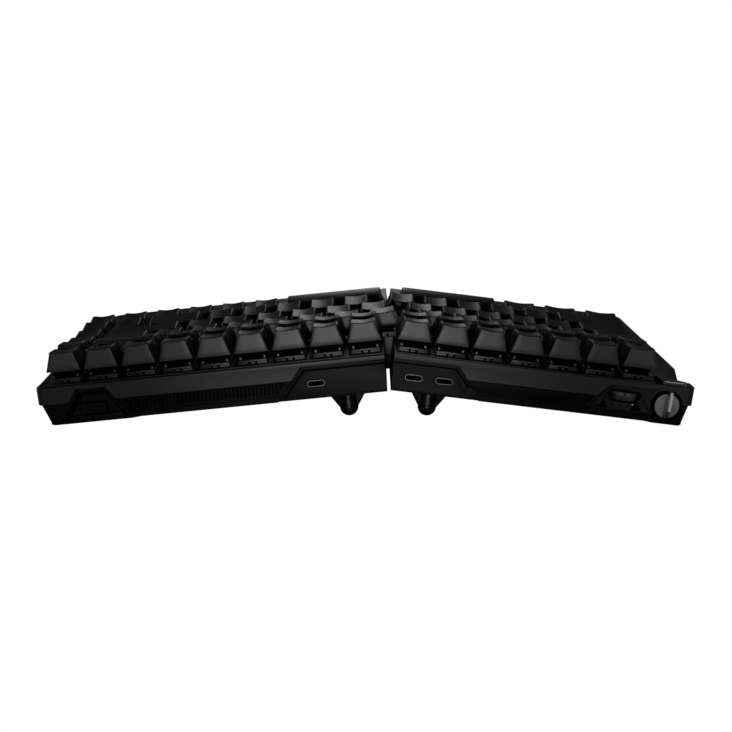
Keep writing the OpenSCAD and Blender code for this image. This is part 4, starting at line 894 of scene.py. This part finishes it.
FRAME_ROUND = 1.2
CASE_ROUND = 0.4
PANEL_ROUND = 0.12
BAY_ROUND = 0.15
RECEIVER_ROUND = 0.2
PLUG_ROUND = 0.2
CUP_ROUND = 0.2
KNOB_ROUND = 0.25
BUTTON_ROUND = 0.4
FOOT_ROUND = 0.3
LEG_ROUND = 0.3
REST_ROUND = 2
FINE_STEPS, FINEST_STEPS = 3, 4
RIB_FACING = 0.9
STRIP_OUT = 0.5
STRIP_FLOOR_Y = REAR_Y - TUCK + STRIP_OUT
STRIP_NEAR = 0.1
STRIP_TOP, STRIP_LOW = 16.1, 21.5
HIGHLIGHT_X = (135.95, 146)
HIGHLIGHT_Y = (4.1, 4.78)
HIGHLIGHT_Z = (-4.85, -4.2)
HIGHLIGHT_ROUND = 0.2


def is_between_ribs(middle, normal):
    on_floor = normal.y > RIB_FACING and abs(middle.y - STRIP_FLOOR_Y) < STRIP_NEAR
    return on_floor and STRIP_TOP < -middle.z < STRIP_LOW


def is_facing_centre(middle, normal):
    return normal.x < -FACING


# Picks the knob's crest for its painted highlight.
def is_knob_crest(middle, normal):
    return middle.y > REAR_Y + BAR_OUT / 2 and normal.y > FACING


def make_half(side):
    """The pieces that both halves have."""
    body = HALF_BODY[side]
    # The frame's faces turned to the centre take the flank's painted shade.
    rounded_copy(side + "_top_frame", side, body, FRAME_PLASTIC, FRAME_ROUND, FINEST_STEPS,
                 weigh=frame_weight(side), accent=(CAP_FLANK_SHADE, is_facing_centre))
    # Between the strip's ribs the bottom case takes the near-black painted shade.
    rounded_copy(side + "_bottom_case", side, body, CASE, CASE_ROUND, FINE_STEPS,
                 accent=(RECESS_SHADE, is_between_ribs) if side == "right" else None)
    rounded_copy(side + "_port_panel", side, body, PANEL, PANEL_ROUND,
                 cuts=port_grooves(side))
    rounded_copy(side + "_rubber_feet", side, body, RUBBER, FOOT_ROUND)
    rounded_copy(side + "_palm_rest", side, side + "_palm_rest_body", REST, REST_ROUND,
                 FINEST_STEPS, weigh=rest_weight)
    for end in ("rear", "front"):
        node = f"{side}_{end}_leg"
        rounded_copy(node, side, node + "_body", LEG, LEG_ROUND)


def make_button_highlight():
    """A painted highlight: a pale strip along the function button's upper edge."""
    edge = Shape()
    add_box(edge, *HIGHLIGHT_X, *HIGHLIGHT_Y, *HIGHLIGHT_Z, radius=HIGHLIGHT_ROUND, edge=HIGHLIGHT_ROUND)
    make_piece("function_button_painted_highlight", "left", edge, [BUTTON_HIGHLIGHT], "function_button_body")


def make_controls():
    """The mode panel, knob, slider and button at the outer end of the left half."""
    rounded_copy("left_mode_panel", "left", "left_half", MODE_PANEL, PANEL_ROUND,
                 cuts=mode_cuts())
    rounded_copy("left_screw_plugs", "left", "left_half", PANEL, PLUG_ROUND)
    # The knob's cup is near-black painted shade.
    rounded_copy("knob_cup", "left", "left_half", RECESS_SHADE, CUP_ROUND)
    # The crest of the knob's bar takes a near-white painted highlight.
    rounded_copy("rotary_knob", "left", "rotary_knob_body", KNOB, KNOB_ROUND, FINE_STEPS,
                 accent=(KNOB_CREST_HIGHLIGHT, is_knob_crest))
    rounded_copy("mode_slider", "left", "mode_slider_body", BUTTON, PANEL_ROUND)
    rounded_copy("function_button", "left", "function_button_body", BUTTON, BUTTON_ROUND,
                 FINE_STEPS)
    make_button_highlight()
    make_mode_lamp()


def make_receiver_end():
    """The receiver and its bay at the outer end of the right half."""
    rounded_copy("right_receiver_bay", "right", "right_half", PANEL, BAY_ROUND,
                 cuts=bay_cuts())
    rounded_copy("receiver", "right", "receiver_body", PANEL, RECEIVER_ROUND)


def paint_nodes():
    """CAD nodes that stay as they are get their materials here."""
    painted = {
        PLATE: ("left_switch_plate", "right_switch_plate", "left_stabilizers", "right_stabilizers"),
        BOARD: ("left_circuit_board", "right_circuit_board", "left_control_board"),
        RUBBER: ("left_foam", "right_foam"),
        STEEL: ("left_board_screws", "right_board_screws", "rotary_encoder"),
        BATTERY: ("left_battery",),
    }
    for material, names in painted.items():
        for name in names:
            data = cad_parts[name].data
            data.materials.clear()
            data.materials.append(material)


# Camera as solved from the photo, in millimetres and degrees, but its clip range in metres. Its place
# is taken from the keyboard's middle in x, and from the right half's own origin in y and z.

PHOTO_SIDE = 732
FOCAL_PIXELS = 1331.62
SENSOR = 36
CAMERA_DISTANCE = 645.06
CAMERA_RISE = 163.89
CAMERA_ASIDE = -1.54
CAMERA_PITCH = -15.3912
CAMERA_YAW = -0.1019
CAMERA_CLIP = (0.01, 20)


def make_camera():
    data = bpy.data.cameras.new("photo_camera")
    data.sensor_width = SENSOR
    data.lens = FOCAL_PIXELS * SENSOR / PHOTO_SIDE
    data.clip_start, data.clip_end = CAMERA_CLIP
    camera = new_object("photo_camera", data)
    place = Vector((CAMERA_ASIDE, CAMERA_DISTANCE - middle_y(), CAMERA_RISE + lift_of("right")))
    look_back = Matrix(((-1, 0, 0), (0, 0, 1), (0, 1, 0))).to_4x4()
    camera.matrix_world = (
        Matrix.Translation(place * MM)
        @ Matrix.Rotation(-math.radians(CAMERA_YAW), 4, "Z")
        @ Matrix.Rotation(-math.radians(CAMERA_PITCH), 4, "X")
        @ look_back
    )
    bpy.context.scene.camera = camera


# Floor, world and lamps, in metres. Each lamp has its kind, place, target, size and power;
# the size is a width and a height for an area, and a cone angle and a radius for a spot.

FLOOR_REACH = 3
FLOOR_GREY = 0.8
WHITE = 1.02
AMBIENT = 0.002
LAMPS = {
    "rear_spot": ("SPOT", (0.008, 0.95, 0.09), (0.008, 0.095, 0.045), (15.2, 0.03), 6.7),
    "rear_near": ("AREA", (0, 0.38, 0.05), (0, 0.1, 0.04), (0.12, 0.05), 0.085),
    "rear_wide": ("AREA", (0, 1.0, 0.1), (0, 0.08, 0.03), (0.6, 0.12), 0.72),
    "left_end": ("SPOT", (-0.32, 0.55, 0.1), (-0.158, 0.095, 0.025), (9, 0.02), 0.9),
    "right_end": ("SPOT", (0.32, 0.55, 0.1), (0.158, 0.095, 0.03), (9, 0.02), 0.45),
    "left_side": ("AREA", (-0.9, -0.45, 0.22), (-0.05, -0.03, 0.03), (0.5, 0.3), 2.5),
    "right_side": ("AREA", (0.9, -0.45, 0.22), (0.05, -0.03, 0.03), (0.5, 0.3), 2.5),
    "front_narrow": ("AREA", (0, -0.6, 0.3), (0, 0.05, 0.04), (0.14, 0.3), 0.34),
}


def white_for_camera(tree, shader, white, output):
    """Shows white straight to the camera and through clear pieces, and the plain shader to other light."""
    path = tree.nodes.new("ShaderNodeLightPath")
    either = tree.nodes.new("ShaderNodeMath")
    either.operation = "MAXIMUM"
    tree.links.new(path.outputs["Is Camera Ray"], either.inputs[0])
    tree.links.new(path.outputs["Is Transmission Ray"], either.inputs[1])
    mix = tree.nodes.new("ShaderNodeMixShader")
    tree.links.new(either.outputs[0], mix.inputs[0])
    tree.links.new(shader.outputs[0], mix.inputs[1])
    tree.links.new(white.outputs[0], mix.inputs[2])
    tree.links.new(mix.outputs[0], output.inputs["Surface"])


def make_floor():
    mesh = bpy.data.meshes.new("floor")
    points = [(x * FLOOR_REACH, y * FLOOR_REACH, 0) for x, y in ((-1, -1), (1, -1), (1, 1), (-1, 1))]
    mesh.from_pydata(points, [], [(0, 1, 2, 3)])
    floor = new_object("floor", mesh)
    material = bpy.data.materials.new("floor_white")
    material.use_nodes = True
    nodes = material.node_tree.nodes
    nodes.clear()
    plain = nodes.new("ShaderNodeBsdfDiffuse")
    plain.inputs["Color"].default_value = (FLOOR_GREY, FLOOR_GREY, FLOOR_GREY, 1)
    glow = nodes.new("ShaderNodeEmission")
    glow.inputs["Strength"].default_value = WHITE
    white_for_camera(material.node_tree, plain, glow, nodes.new("ShaderNodeOutputMaterial"))
    mesh.materials.append(material)


def make_world():
    world = bpy.data.worlds.new("studio")
    world.use_nodes = True
    bpy.context.scene.world = world
    nodes = world.node_tree.nodes
    nodes.clear()
    backgrounds = []
    for strength in (AMBIENT, WHITE):
        background = nodes.new("ShaderNodeBackground")
        background.inputs["Color"].default_value = (1, 1, 1, 1)
        background.inputs["Strength"].default_value = strength
        backgrounds.append(background)
    white_for_camera(world.node_tree, *backgrounds, nodes.new("ShaderNodeOutputWorld"))


def add_lamp(name, kind, place, target, size, power):
    data = bpy.data.lights.new(name, kind)
    if kind == "AREA":
        data.shape = "RECTANGLE"
        data.size, data.size_y = size
    else:
        data.spot_size, data.shadow_soft_size = math.radians(size[0]), size[1]
        data.spot_blend = 1
    data.energy = power
    lamp = new_object(name, data)
    lamp.location = place
    lamp.rotation_euler = (Vector(target) - Vector(place)).to_track_quat("-Z", "Y").to_euler()


make_camera()
make_floor()
make_world()
for lamp_name, lamp_values in LAMPS.items():
    add_lamp(lamp_name, *lamp_values)
bpy.context.scene.view_settings.view_transform = "Standard"

make_caps()
make_switches()
for half_side in HALF_BODY:
    make_half(half_side)
make_controls()
make_receiver_end()
make_usb_ports()
paint_nodes()
